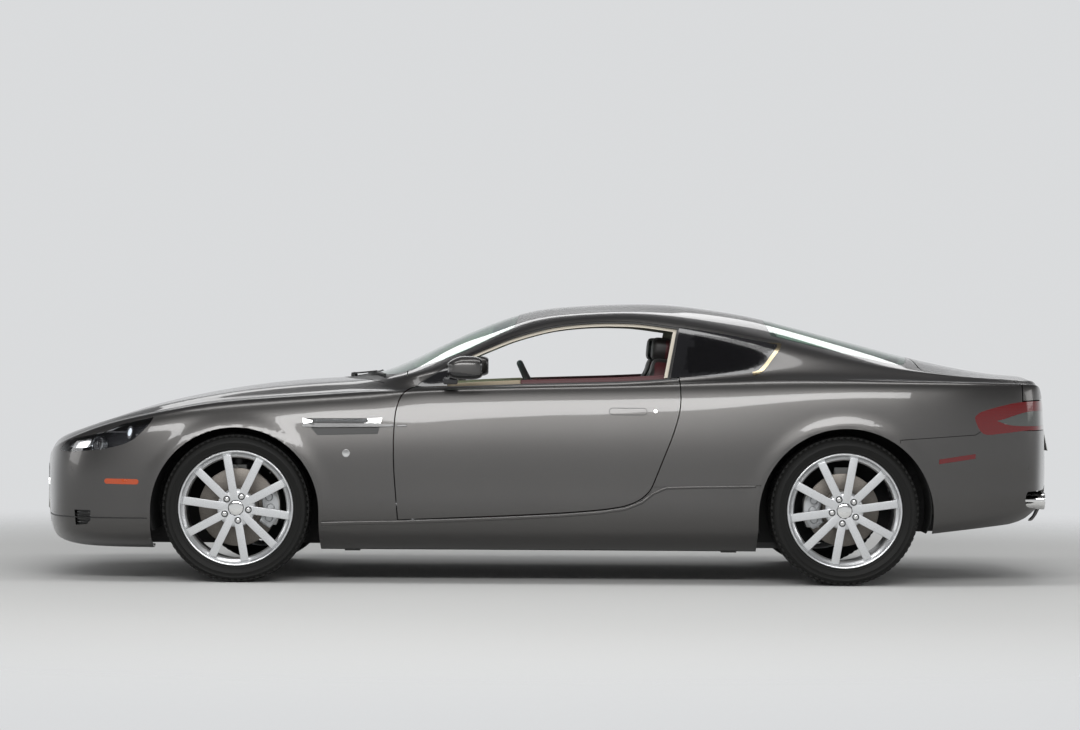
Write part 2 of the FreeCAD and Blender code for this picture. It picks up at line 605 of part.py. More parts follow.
def evaluate(text):
    words = [repr(size(word)) if word in NAMES else word for word in text.split()]
    total, sign, product = 0.0, 1.0, None
    value = 0.0
    operator = "+"
    for word in words:
        if word in "+-":
            total += value
            value, operator = 0.0, word
            sign = 1.0 if word == "+" else -1.0
            product = None
        elif word in "*/":
            product = word
        elif product:
            value = value * float(word) if product == "*" else value / float(word)
            product = None
        else:
            value = sign * float(word)
    return total + value


NAMES = {name for name, value in SIZES}


def add_corner(end, side):
    # Tyre, wheel and disc of one corner, each built about its own axle and then placed.
    word, axle, half_track, radius, width, disc_radius, caliper = end
    place = "left" if side < 0 else "right"
    tag = "%s_%s" % (word, place)
    tyre_radius, tyre_width = word + "TyreRadius", word + "TyreWidth"
    base = Vector(axle, side * half_track, size(tyre_radius))
    turn = Rotation(Vector(0, 0, 1), 180 if side > 0 else 0)
    tyre = add_ring("tyre_" + tag, [
        ("rimRadius + 3", "%s / 2 - 8" % tyre_width), ("rimRadius + 40", "%s / 2" % tyre_width),
        ("%s - 22" % tyre_radius, "%s / 2 - 1" % tyre_width), (tyre_radius + " - 7", "%s / 2 - 9" % tyre_width),
        (tyre_radius, "%s / 2 - 26" % tyre_width),
        (tyre_radius, "26 - %s / 2" % tyre_width), (tyre_radius + " - 7", "9 - %s / 2" % tyre_width),
        ("%s - 22" % tyre_radius, "1 - %s / 2" % tyre_width), ("rimRadius + 40", "0 - %s / 2" % tyre_width),
        ("rimRadius + 3", "8 - %s / 2" % tyre_width), ("rimRadius - 16 + 0.3", "20 - %s / 2" % tyre_width),
        ("rimRadius - 16 + 0.3", "%s / 2 - 20" % tyre_width),
    ])
    half = width / 2
    rim = size("rimRadius")
    wall = size("rimWall")
    barrel = turned([(rim, -half + 2), (rim, -half + 8), (rim - 16, -half + 20), (rim - 16, half - 20),
                     (rim, half - 8), (rim, half - 2), (rim - 16 - wall, half - 14),
                     (rim - 16 - wall, -half + 14)])
    face = -half + 20
    hub_back = face + size("hubDepth")
    wheel = barrel.fuse(tube_y(size("hubRadius"), face + 6, hub_back, 0, 0))
    count = int(size("spokeCount"))
    spoke = box(0, rim - 18, face, face + size("spokeDepth"), 0, size("spokeWidth"))
    spoke.translate(Vector(0, 0, -size("spokeWidth") / 2))
    lead = 80 if word == "front" else 100
    for index in range(count):
        arm = spoke.copy()
        arm.rotate(Vector(0, 0, 0), Vector(0, 1, 0), -lead - index * 360.0 / count)
        wheel = wheel.fuse(arm)
    wheel = wheel.cut(tube_y(size("spindleRadius") + 4, face + 20, hub_back + 1, 0, 0))
    wheel = wheel.fuse(tube_y(size("capRadius"), face + 2, face + 8, 0, 0))
    disc_back = hub_back + size("discThickness") + 40
    disc = tube_y(size(word + "DiscRadius"), disc_back - size("discThickness"), disc_back, 0, 0)
    disc = disc.fuse(tube_y(size("bellRadius"), hub_back, disc_back, 0, 0))
    disc = disc.cut(tube_y(size("spindleRadius") + size("spindleGap"), hub_back - 1, disc_back + 1, 0, 0))
    for name, shape in (("wheel_" + tag, wheel), ("disc_" + tag, disc)):
        piece = add_piece(name, shape)
        piece.Placement = Placement(base, turn)
    tyre.Placement = Placement(base, turn)
    PIECES.append(tyre)
    # upright with spindle and caliper, in car coordinates of the left side
    z = size(tyre_radius)
    centre = -half_track
    back = centre + disc_back
    hub = centre + hub_back
    body = box(axle - 34, axle + 34, back + 8, back + 48, z - 130, z + 190)
    body = body.fuse(tube_y(size("spindleRadius"), hub + 4, back + 20, axle, z))
    body = body.fuse(tube_y(60, back + 6, back + 48, axle, z))
    reach = size(word + "DiscRadius")
    lo, hi = sorted((axle + caliper * (reach * 0.66), axle + caliper * (reach + 14)))
    pad = box(lo, hi, back - size("discThickness") - 32, back + 34, z - 78, z + 78)
    slot = tube_y(reach + 4, back - size("discThickness") - 6, back + 6, axle, z)
    pad = pad.cut(slot).common(tube_y(reach + 16, back - 90, back + 60, axle, z))
    inner, outer_x = sorted((axle + caliper * 30, axle + caliper * (reach * 0.72)))
    bracket = box(inner, outer_x, back + 10, back + 32, z - 40, z + 40)
    upright = body.fuse(bracket).fuse(pad)
    if side > 0:
        upright = flipped(upright)
    return upright


def turned(corners):
    points = [Vector(r, o, 0) for r, o in corners]
    face = Part.Face(Part.makePolygon(points + points[:1]))
    return face.revolve(Vector(0, 0, 0), Vector(0, 1, 0), 360)


CORNERS = [
    # name, axle x, half track, tyre radius, tyre width, disc radius, caliper side
    ("front", FRONT_AXLE, size("frontTrack") / 2, size("frontTyreRadius"), size("frontTyreWidth"),
     size("frontDiscRadius"), 1),
    ("rear", REAR_AXLE, size("rearTrack") / 2, size("rearTyreRadius"), size("rearTyreWidth"),
     size("rearDiscRadius"), -1),
]


def make_wheels():
    rear = []
    for end in CORNERS:
        for side in (LEFT, RIGHT):
            upright = add_corner(end, side)
            place = "left" if side < 0 else "right"
            if end[0] == "front":
                kingpin_y = side * (end[2] - size("kingpinInset"))
                eye = Part.makeCylinder(size("kingpinRadius") + FIT, 600, Vector(end[1], kingpin_y, 50))
                ears = Part.makeCylinder(22, 320, Vector(end[1], kingpin_y, end[3] - 130))
                upright = upright.fuse(ears).cut(eye)
                add_piece("knuckle_" + place, solids_over(upright))
            else:
                rear.append(upright)
    add_piece("rear_knuckles", Part.makeCompound([solids_over(u) for u in rear]))


# ---- chassis -------------------------------------------------------------------------------

FLOOR_TOP = size("groundGap") + size("floorWall")
TUNNEL_HALF, TUNNEL_TOP, TUNNEL_WALL = 130.0, 300.0, 28.0
HANGERS = (-500, 200, 800)
ARM_REACH = 60.5


def kingpin_line(end):
    return end[2] - size("kingpinInset")


def control_arm(axle, inner, kingpin, low, high, pin_low, pin_high):
    # Left-hand wishbone with the pin that the upright turns on.
    corners = [Vector(axle - 70, -inner, low), Vector(axle + 70, -inner, low),
               Vector(axle + 16, -kingpin, low), Vector(axle - 16, -kingpin, low)]
    arm = prism(corners, Vector(0, 0, high - low), 0)
    eye = Part.makeCylinder(21, high - low, Vector(axle, -kingpin, low))
    pin = Part.makeCylinder(size("kingpinRadius"), pin_high - pin_low, Vector(axle, -kingpin, pin_low))
    return arm.fuse(eye).fuse(pin)


def make_chassis():
    front, rear = CORNERS
    axle, z = front[1], front[3]
    kingpin = kingpin_line(front)
    beam = box(axle - 110, axle + 110, -440, 440, z - 165, z - 120)
    for side in (LEFT, RIGHT):
        rail = box(place_x(-2130), place_x(-828), 330, 400, z - 145, z - 75)
        tower = box(axle - 80, axle + 80, 415, 470, z - 160, z + 225)
        parts = rail.fuse(tower)
        beam = beam.fuse(parts if side > 0 else flipped(parts))
    lower = control_arm(axle, 420, kingpin, z - 160, z - 136, z - 150, z - 80)
    upper = control_arm(axle, 420, kingpin, z + 196, z + 218, z + 120, z + 206)
    arms = lower.fuse(upper)
    add_piece("front_subframe", beam.fuse(arms).fuse(flipped(arms)))

    axle, z = rear[1], rear[3]
    beam = box(axle - 140, axle + 140, -430, 430, z - 140, z - 90)
    beam = beam.fuse(box(axle - 60, axle + 60, -430, 430, z - 100, place_z(300)))
    beam = beam.fuse(box(axle - 110, axle + 90, -120, 120, z - 150, place_z(300)))
    arm = box(axle - 45, axle + 45, -(rear[2] - ARM_REACH), -420, z - 138, z - 112)
    beam = beam.fuse(arm).fuse(flipped(arm))
    add_piece("rear_subframe", beam)

    bench_z = front[3] - 75
    add_piece("engine_block", box(place_x(-1560), place_x(-900), -340, 340, bench_z, place_z(760)))
    add_piece("radiator", box(place_x(-2130), place_x(-2070), -395, 395, bench_z, place_z(560)))
    shaft = tube_from(32, place_x(-900), REAR_AXLE - 140, 45, place_z(225))
    add_piece("propshaft", shaft)
    silencer = box(place_x(1700), place_x(2030), -430, 430, place_z(245), place_z(400) - FIT)
    silencer = silencer.makeFillet(30, silencer.Edges)
    pipe = tube_from(28, place_x(-880), place_x(1150), -50, place_z(215))
    for x in HANGERS:
        pipe = pipe.fuse(box(place_x(x) - 12, place_x(x) + 12, -62, -38, place_z(215), TUNNEL_TOP - TUNNEL_WALL))
    for y, height in TIPS:
        tip = tube_from(TIP_RADIUS, place_x(2150), place_x(2281), y, place_z(height))
        tip = tip.cut(tube_from(TIP_RADIUS - 3, place_x(2165), place_x(2290), y, place_z(height)))
        tip = tip.fuse(tube_from(24, place_x(1995), place_x(2152), y, place_z(height)))
        silencer = silencer.fuse(tip).fuse(flipped(tip))
    link = box(place_x(1990), place_x(2028), -630, 630, place_z(346), place_z(398))
    silencer = silencer.fuse(link)
    add_piece("exhaust", Part.makeCompound([pipe] + silencer.Solids))


def make_liners():
    ends = ((CORNERS[0], size("frontWellRadius"), size("frontWellInner"), 80, 620),
            (CORNERS[1], size("rearWellRadius"), size("rearWellInner"), 60, 300))
    inside = body_loft(-2400, 2400, size("wingWall") + FIT)
    wall = size("linerWall")
    for end, radius, inner, half_slot, slot_top in ends:
        name, axle, z = end[0], end[1], end[3]
        shape = tube_y(radius + wall, -880, -inner + wall, axle, z).cut(tube_y(radius, -900, -inner, axle, z))
        slot = box(axle - half_slot, axle + half_slot, -inner - 1, -inner + wall + 1, 0, slot_top)
        shape = shape.cut(slot).cut(box(axle - 500, axle + 500, -WIDE, 0, 0, 232)).common(inside)
        shape = largest(shape)
        add_piece("arch_liners_" + name, Part.makeCompound([shape, flipped(shape)]))


# ---- cabin ---------------------------------------------------------------------------------

DASH = [(-800, 560), (-800, 850), (-640, 880), (-480, 886), (-440, 850), (-430, 760), (-480, 560)]
FRONT_SEAT = [(-20, 192), (-40, 400), (30, 468), (360, 440), (420, 480), (470, 800), (492, 960), (484, 1010),
              (490, 1095), (520, 1117), (575, 1108), (592, 1050), (604, 960), (600, 640), (560, 400), (540, 192)]
REAR_SEAT = [(905, 420), (850, 440), (842, 510), (900, 545), (1150, 505), (1225, 820), (1255, 905), (1338, 905),
             (1338, 420)]
STEERING_CENTRE = (-50, -350, 829)
STEERING_TILT = 25.0
STEERING_RIM, STEERING_GRIP = 180.0, 15.0


def make_cabin():
    add_piece("dashboard", dashboard_shape())
    seat = side_prism(FRONT_SEAT, 145, 600)
    seat.translate(Vector(0, 0, FIT))
    seat = largest(seat.common(cabin_space()))
    add_piece("front_seats", Part.makeCompound([seat, flipped(seat)]))
    bench = side_prism(REAR_SEAT, -560, 560)
    bench.translate(Vector(0, 0, FIT))
    add_piece("rear_seats", bench)
    console = box(place_x(-420), place_x(560), -TUNNEL_HALF, TUNNEL_HALF, TUNNEL_TOP, place_z(500))
    add_piece("centre_console", console)
    add_piece("steering_wheel", steering_shape())


def steering_frame():
    x, y, z = STEERING_CENTRE
    tilt = Rotation(Vector(0, 1, 0), 90 - STEERING_TILT)
    return Placement(at(x, y, z), tilt)


def dashboard_shape():
    dash = side_prism(DASH, -612, 612)
    column = Part.makeCylinder(24, 560, Vector(0, 0, -600))
    shaft = Part.makeCylinder(10, 60, Vector(0, 0, -60))
    column = column.fuse(shaft)
    column.Placement = steering_frame()
    column = column.common(box(place_x(-640), place_x(100), -WIDE, 0, 0, TALL))
    return dash.fuse(largest(column))


def steering_shape():
    rim = Part.makeTorus(STEERING_RIM, STEERING_GRIP)
    hub = Part.makeCylinder(62, 44, Vector(0, 0, -38))
    shape = rim.fuse(hub)
    for angle in (0, 90, 270):
        arm = box(50, STEERING_RIM, -18, 18, -8, 8)
        arm.rotate(Vector(0, 0, 0), Vector(0, 0, 1), angle)
        shape = shape.fuse(arm)
    shape = shape.cut(Part.makeCylinder(10 + size("spindleGap"), 42, Vector(0, 0, -41)))
    shape.Placement = steering_frame()
    return shape


# ---- trim ----------------------------------------------------------------------------------

def make_trim():
    # grille bars across the mouth, held in an outline of their own
    frame = grow_mouth(0.0).cut(grow_mouth(-16.0))
    depth = box(place_x(-2284), place_x(-2262), -WIDE, WIDE, 0, TALL)
    frame = frame.common(depth)
    bars = []
    for height in range(262, 500, 34):
        bars.append(box(place_x(-2280), place_x(-2266), -WIDE, WIDE, place_z(height), place_z(height) + 9))
    grille = frame
    for bar in bars:
        grille = grille.fuse(bar.common(grow_mouth(-8.0)))
    upright = box(place_x(-2266), place_x(-2160), -12, 12, place_z(262), place_z(496))
    grille = grille.fuse(upright)
    grille = grille.common(body_loft(-2400, -1900, 2))
    add_piece("grille", largest(grille))

    blades = body_loft(-1150, -450, -13).cut(body_loft(-1150, -450, -FIT))
    strips = []
    for x0, y0, x1, y1 in ((-852, 60, -752, 530), (-752, -530, -852, -60)):
        strips.append(plan_prism([(x0 - 7, y0), (x0 + 7, y0), (x1 + 7, y1), (x1 - 7, y1)], 0, TALL))
    add_piece("wipers", Part.makeCompound([largest(blades.common(strip)) for strip in strips]))

    pads = []
    for x in JACK_PLACES:
        pads.append(box(place_x(x) - 35, place_x(x) + 35, -740, -690, size("groundGap") - 12, size("groundGap")))
    pads += [flipped(pad) for pad in pads]
    add_piece("jacking_pads", Part.makeCompound(pads))


JACK_PLACES = (-880, 830)
# Tow sockets: end that faces out, end on the beam, distance to the right, height.
TOW_SOCKETS = [(-2245, -2160, 520, 300), (2213, 2175, 300, 378)]
TOW_BORE, TOW_BOSS, TOW_ACCESS = 10.0, 17.0, 15.0
TAIL_OPENING = 430  # half width of the open lower middle of the rear bumper


def tow_holes():
    holes = []
    for mouth, seat, y, z in TOW_SOCKETS:
        out = math.copysign(200, mouth)
        ends = sorted((place_x(seat), place_x(mouth) + out))
        holes.append(tube_from(TOW_ACCESS, ends[0], ends[1], place_y(y), place_z(z)))
    return holes[0].fuse(holes[1])


def make_beams():
    sockets = []
    for mouth, seat, y, z in TOW_SOCKETS:
        x0, x1 = sorted((place_x(mouth), place_x(seat)))
        boss = tube_from(TOW_BOSS, x0, x1, place_y(y), place_z(z))
        sockets.append(boss.cut(tube_from(TOW_BORE, x0 - 1, x1 + 1, place_y(y), place_z(z))))
    add_piece("tow_sockets", Part.makeCompound(sockets))
    front = box(place_x(-2160), place_x(-2130), -640, 640, place_z(255), place_z(345))
    rear = box(place_x(2150), place_x(2175), -430, 430, place_z(334), place_z(430))
    add_piece("bumper_beams", Part.makeCompound([front, rear]))


def grow_mouth(grow):
    wire = Part.makePolygon([at(-2450, y, z) for y, z in MOUTH + MOUTH[:1]])
    if grow:
        wire = wire.makeOffset2D(grow, 2)
    return Part.Face(wire).extrude(Vector(500, 0, 0))


# ---- build, check and write ----------------------------------------------------------------

make_bodywork()
make_wheels()
make_chassis()
make_liners()
make_cabin()
make_trim()
make_beams()
doc.recompute()
for thing in doc.Objects:
    if "Invalid" in thing.State or "Error" in thing.State:
        raise RuntimeError("object %s failed: %s" % (thing.Label, thing.State))
for piece in PIECES:
    if piece.Shape.isNull() or not piece.Shape.isValid() or not piece.Shape.Solids:
        raise RuntimeError("bad shape: " + piece.Label)
os.makedirs("parts", exist_ok=True)
for piece in PIECES:
    piece.Shape.exportStep("parts/%s.step" % piece.Label)
print(len(PIECES), "pieces written")
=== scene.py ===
import json
import math

import bmesh
import bpy
import numpy as np
from mathutils import Matrix, Vector
from mathutils.bvhtree import BVHTree
from mathutils.interpolate import poly_3d_calc

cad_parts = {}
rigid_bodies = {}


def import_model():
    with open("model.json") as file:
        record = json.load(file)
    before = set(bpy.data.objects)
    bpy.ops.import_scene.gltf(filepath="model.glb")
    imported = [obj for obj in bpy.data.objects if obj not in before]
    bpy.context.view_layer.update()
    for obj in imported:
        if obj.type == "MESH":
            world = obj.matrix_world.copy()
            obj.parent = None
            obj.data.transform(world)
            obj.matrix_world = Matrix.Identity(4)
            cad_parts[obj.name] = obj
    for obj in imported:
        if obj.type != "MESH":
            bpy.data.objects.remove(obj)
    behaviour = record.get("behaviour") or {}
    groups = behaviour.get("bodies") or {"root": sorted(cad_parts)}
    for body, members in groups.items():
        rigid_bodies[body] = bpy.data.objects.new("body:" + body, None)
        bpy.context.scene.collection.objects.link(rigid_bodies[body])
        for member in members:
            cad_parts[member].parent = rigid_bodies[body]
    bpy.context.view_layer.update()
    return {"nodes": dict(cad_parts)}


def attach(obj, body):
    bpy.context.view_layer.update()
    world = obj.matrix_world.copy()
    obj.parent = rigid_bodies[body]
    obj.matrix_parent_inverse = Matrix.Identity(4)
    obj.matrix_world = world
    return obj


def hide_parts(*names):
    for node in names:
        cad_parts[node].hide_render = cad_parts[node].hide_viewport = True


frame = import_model()
print("frame is in")

mm = 0.001
wide, gap = 1100, 5  # reach of the side tools, gap between panels
scene = bpy.context.scene


class Wire:
    # one output of a node, ready for sums with numbers or other outputs
    def __init__(self, tree, socket):
        self.tree, self.socket = tree, socket

    def sum(self, kind, other):
        return addNode(self.tree, "ShaderNodeMath", {"operation": kind}, {0: self, 1: other})

    def __add__(self, other):
        return self.sum("ADD", other)

    def __sub__(self, other):
        return self.sum("SUBTRACT", other)

    def __mul__(self, other):
        return self.sum("MULTIPLY", other)

    def __gt__(self, other):
        return self.sum("GREATER_THAN", other)

    def sine(self):
        return self.sum("SINE", 0.0)


def plug(tree, socket, value):
    if isinstance(value, Wire):
        tree.links.new(value.socket, socket)
    else:
        socket.default_value = value


def addNode(tree, kind, settings=None, sockets=None, output=0):
    node = tree.nodes.new(kind)
    for key, value in (settings or {}).items():
        setattr(node, key, value)
    for key, value in (sockets or {}).items():
        plug(tree, node.inputs[key], value)
    return Wire(tree, node.outputs[output])


class Finish:
    # one finish: its nodes, its shader and its material
    def __init__(self, name, colour, roughness, metallic=0.0, **shader):
        self.material = bpy.data.materials.new(name)
        self.material.use_nodes = True
        self.tree = self.material.node_tree
        self.tree.nodes.clear()
        self.out = self.tree.nodes.new("ShaderNodeOutputMaterial")
        self.shader = self.tree.nodes.new("ShaderNodeBsdfPrincipled")
        self.surface = Wire(self.tree, self.shader.outputs[0])
        self.shown(self.surface)
        self.feed("Base Color", (*colour, 1))
        self.feed("Roughness", roughness)
        self.feed("Metallic", metallic)
        for key, value in shader.items():
            self.feed(key.replace("_", " "), value)

    def shown(self, surface):
        plug(self.tree, self.out.inputs[0], surface)
        return self

    def feed(self, socket, value):
        plug(self.tree, self.shader.inputs[socket], value)
        return self

    def node(self, kind, settings=None, sockets=None, output=0):
        return addNode(self.tree, kind, settings, sockets, output)

    def place(self, stretch=None):
        spot = self.node("ShaderNodeTexCoord", output="Object")
        return self.node("ShaderNodeMapping", None, {"Vector": spot, "Scale": stretch}) if stretch else spot

    def along(self, axis):
        return self.node("ShaderNodeSeparateXYZ", None, {0: self.place()}, axis)

    def noise(self, scale, detail=2.0, stretch=None):
        return self.node("ShaderNodeTexNoise", None,
                         {"Vector": self.place(stretch), "Scale": scale, "Detail": detail}, "Fac")

    def cells(self, scale, output="Distance"):
        return self.node("ShaderNodeTexVoronoi", {"feature": "F1"}, {"Vector": self.place(), "Scale": scale}, output)

    def flecks(self, scale):
        return self.node("ShaderNodeRGBToBW", None, {0: self.cells(scale, "Color")})

    def blend(self, factor, first, second):
        # colours go through Mix
        first, second = (value if isinstance(value, Wire) else (*value, 1) for value in (first, second))
        return self.node("ShaderNodeMix", {"data_type": "RGBA"}, {0: factor, 6: first, 7: second}, 2)

    def bump(self, height, strength, distance):
        return self.feed("Normal", self.node("ShaderNodeBump", None,
                                             {"Height": height, "Strength": strength, "Distance": distance}))

    def lampsThrough(self, colour):
        # lamps shine through the pane, rays that look at it don't change
        clear = self.node("ShaderNodeBsdfTransparent", None, {0: (*colour, 1)})
        shadow = self.node("ShaderNodeLightPath", output="Is Shadow Ray")
        return self.shown(self.node("ShaderNodeMixShader", None, {0: shadow, 1: self.surface, 2: clear}))


# Key: name, colour, roughness, metallic, grain (noise scale, detail and stretch, or cells),
# its two colours, roughness (share of the grain, start), relief (strength, distance), shader.
finishSet = {
    "rubber": ("tyreRubber", (0.01, 0.01, 0.01), 0.55, 0, (420, 3), ((0.005, 0.005, 0.005), (0.014, 0.014, 0.013)),
               (0.2, 0.42), (0.15, 0.0005), {"Specular_IOR_Level": 0.18}),
    "bright": ("polishedTrim", (0.78, 0.78, 0.77), 0.1, 1, (60, 2), None, (0.08, 0.06), None, {}),
    "champagne": ("champagneTrim", (0.4, 0.34, 0.23), 0.2, 1, (220, 2, (0.2, 1, 1)), None, (0.16, 0.14), None, {}),
    "darkBright": ("darkTrim", (0.1, 0.1, 0.1), 0.2, 1, (220, 2, (0.2, 1, 1)), None, (0.16, 0.14), None, {}),
    "castGrey": ("greyFins", (0.3, 0.31, 0.32), 0.2, 1, (220, 2, (0.2, 1, 1)), None, (0.16, 0.14), None, {}),
    "iron": ("discIron", (0.22, 0.2, 0.18), 0.4, 0.9, (240, 2, (1, 0.05, 1)),
             ((0.13, 0.115, 0.1), (0.28, 0.26, 0.235)), (0.25, 0.34), None, {}),
    "cast": ("castAlloy", (0.42, 0.42, 0.41), 0.5, 0.6, (500, 3), None, None, (0.3, 0.0006), {}),
    "caliper": ("caliperSilver", (0.5, 0.51, 0.52), 0.38, 0.6, (300, 3), None, (0.2, 0.3), (0.15, 0.0005),
                {"Coat_Weight": 0.4, "Coat_Roughness": 0.1}),
    "steel": ("chassisSteel", (0.05, 0.05, 0.052), 0.5, 0.3, (160, 3), ((0.03, 0.03, 0.032), (0.075, 0.073, 0.07)),
              None, (0.2, 0.0008), {}),
    "satin": ("satinBlack", (0.014, 0.014, 0.014), 0.42, 0, (900, 2), None, (0.2, 0.32), (0.1, 0.0003), {}),
    "gloss": ("glossBlack", (0.008, 0.008, 0.009), 0.12, 0, (40, 2), None, (0.1, 0.08), None,
              {"Coat_Weight": 0.6, "Coat_Roughness": 0.03}),
    "felt": ("archLiner", (0.012, 0.012, 0.012), 0.85, 0, (700, 3), ((0.006, 0.006, 0.006), (0.022, 0.022, 0.022)),
             None, (0.4, 0.001), {}),
    "wine": ("wineLeather", (0.045, 0.008, 0.01), 0.45, 0, (420,), ((0.045, 0.008, 0.01), (0.095, 0.016, 0.02)),
             (0.25, 0.36), (0.25, 0.0006), {"Sheen_Weight": 0.1}),
    "champagneHide": ("tanLeather", (0.2, 0.16, 0.1), 0.45, 0, (420,), ((0.2, 0.16, 0.1), (0.34, 0.28, 0.19)),
                      (0.25, 0.36), (0.25, 0.0006), {"Sheen_Weight": 0.1}),
    "dark": ("darkLeather", (0.01, 0.009, 0.009), 0.45, 0, (420,), ((0.01, 0.009, 0.009), (0.024, 0.021, 0.02)),
             (0.25, 0.36), (0.25, 0.0006), {"Sheen_Weight": 0.1}),
    "stone": ("stoneLeather", (0.2, 0.19, 0.17), 0.45, 0, (420,), ((0.2, 0.19, 0.17), (0.33, 0.31, 0.28)),
              (0.25, 0.36), (0.25, 0.0006), {"Sheen_Weight": 0.1}),
    "cream": ("creamHeadliner", (0.55, 0.5, 0.42), 0.85, 0, (900, 3), ((0.46, 0.42, 0.35), (0.62, 0.57, 0.48)),
              None, (0.3, 0.0006), {"Sheen_Weight": 0.2}),
    "carpet": ("carpet", (0.02, 0.018, 0.017), 0.95, 0, (1200, 2), ((0.008, 0.007, 0.007), (0.04, 0.035, 0.033)),
               None, (0.8, 0.002), {"Sheen_Weight": 0.3}),
    "plate": ("blankPlate", (0.62, 0.62, 0.6), 0.4, 0, (500, 2), None, (0.2, 0.3), None, {}),
    "clearSolid": ("lampEye", (0.75, 0.8, 0.85), 0.03, 0.2, (90, 1), None, (0.04, 0.01), None,
                   {"Coat_Weight": 1.0, "Coat_Roughness": 0.01}),
}
# Clear panes: name, colour, index. Ribbed lenses: name, colour, roughness, metallic, axis, ribs, relief.
paneSet = {"glass": ("tintedGlass", (0.72, 0.88, 0.8), 1.45), "clear": ("lampGlass", (0.97, 0.98, 1.0), 1.4),
           "band": ("screenBand", (0.3, 0.5, 0.62), 1.45)}
lensSet = {"redLens": ("redLens", (0.115, 0.002, 0.003), 0.1, 0, "Z", 900, 0.12, {"Coat_IOR": 1.4}),
           "amberLens": ("amberLens", (0.42, 0.055, 0.006), 0.12, 0, "X", 900, 0.12, {}),
           "smokeLens": ("reverseLens", (0.09, 0.095, 0.09), 0.08, 0.5, "Z", 700, 0.15, {})}
paintSet = {"dark": (0.038, 0.037, 0.037), "light": (0.15, 0.145, 0.14), "flakes": 1400, "clouds": 3}


def makePaint():
    paint = Finish("gunmetalPaint", (0.12, 0.117, 0.115), 0.34, 0.9, Coat_Weight=0.75, Coat_Roughness=0.03,
                   Coat_IOR=1.4)
    grey, cloud = paint.flecks(paintSet["flakes"]), paint.noise(paintSet["clouds"], 1)
    tone = grey * 0.22 + cloud * 0.06 + 0.86
    paint.feed("Base Color", paint.blend(tone - 0.5, paintSet["dark"], paintSet["light"]))
    return paint.feed("Roughness", grey * 0.1 + 0.3)


def makeAlloy():
    alloy = Finish("silverAlloy", (0.66, 0.67, 0.68), 0.3, 0.75, Coat_Weight=0.7, Coat_Roughness=0.05)
    grey = alloy.flecks(1800)
    alloy.feed("Base Color", alloy.blend(grey * 0.5, (0.6, 0.61, 0.62), (0.78, 0.79, 0.8)))
    return alloy.feed("Roughness", grey * 0.1 + 0.26)


def makeFloorPan():
    # painted underside, carpet above the floor's middle height
    pan = Finish("floorPan", (0.03, 0.03, 0.03), 0.9)
    tuft = pan.noise(1200, 2)
    high = pan.along("Z") > 0.187
    pan.feed("Base Color", pan.blend(high, pan.blend(tuft, (0.03, 0.03, 0.03), (0.05, 0.05, 0.05)),
                                     pan.blend(tuft, (0.008, 0.007, 0.007), (0.04, 0.035, 0.033))))
    pan.feed("Roughness", high * 0.4 + 0.5)
    return pan.bump(tuft, 0.5, 0.0015)


def makeFinishes():
    done = {"paint": makePaint(), "alloy": makeAlloy(), "pan": makeFloorPan()}
    for key, (name, colour, index) in paneSet.items():
        done[key] = Finish(name, colour, 0.0, 0.0, Transmission_Weight=1.0, IOR=index)
        done[key].lampsThrough(colour)
    for key, (name, colour, roughness, metallic, axis, ribs, strength, more) in lensSet.items():
        lens = Finish(name, colour, roughness, metallic, Coat_Weight=0.6, Coat_Roughness=0.02, **more)
        done[key] = lens.bump((lens.along(axis) * ribs).sine(), strength, 0.0006)
    for key, (name, colour, roughness, metallic, scale, colours, rough, relief, more) in finishSet.items():
        look = done[key] = Finish(name, colour, roughness, metallic, **more)
        grain = look.noise(*scale) if len(scale) > 1 else look.cells(*scale)
        if colours:
            look.feed("Base Color", look.blend(grain, *colours))
        if rough:
            look.feed("Roughness", grain * rough[0] + rough[1])
        if relief:
            look.bump(grain, *relief)
    return {key: look.material for key, look in done.items()}


finish = makeFinishes()
print("finishes made")


def place(name, bm, *looks):
    mesh = bpy.data.meshes.new(name)
    bm.to_mesh(mesh)
    bm.free()
    piece = bpy.data.objects.new(name, mesh)
    scene.collection.objects.link(piece)
    mesh.polygons.foreach_set("use_smooth", [True] * len(mesh.polygons))
    return dressed(piece, *looks)


def dressed(piece, *looks):
    for look in looks:
        piece.data.materials.append(finish[look])
    return piece


def named(piece, name):
    piece.name = piece.data.name = name
    return piece


def slid(bm, x=0, y=0, z=0):
    # moves a mesh, in millimetres
    bmesh.ops.translate(bm, verts=bm.verts, vec=(x * mm, y * mm, z * mm))
    return bm


def turned(bm, angle, axis):
    bmesh.ops.rotate(bm, verts=bm.verts, cent=(0, 0, 0), matrix=Matrix.Rotation(angle, 3, axis))
    return bm


def eased(bm, width, segments=2, edges=None):
    # rounds the edges of a mesh
    bmesh.ops.bevel(bm, geom=edges or bm.edges[:], offset=width * mm, segments=segments, affect="EDGES", profile=0.5,
                    material=-1)
    return bm


def seated(bm, move):
    # puts a mesh in its place, and turns its faces back where that mirrors it
    bm.transform(move)
    if move.determinant() < 0:
        bmesh.ops.reverse_faces(bm, faces=bm.faces)
    return bm


def settle(piece):
    # bakes the live modifiers into the mesh
    graph = bpy.context.evaluated_depsgraph_get()
    mesh = bpy.data.meshes.new_from_object(piece.evaluated_get(graph), depsgraph=graph)
    old = piece.data
    piece.modifiers.clear()
    piece.data = mesh
    bpy.data.meshes.remove(old)
    return piece


def refine(piece, levels):
    step = piece.modifiers.new("subsurf", "SUBSURF")
    step.levels = step.render_levels = levels
    return settle(piece)


def carve(piece, tool, how="DIFFERENCE"):
    step = piece.modifiers.new("carve", "BOOLEAN")
    step.operation, step.object, step.solver = how, tool, "MANIFOLD"
    return settle(piece)


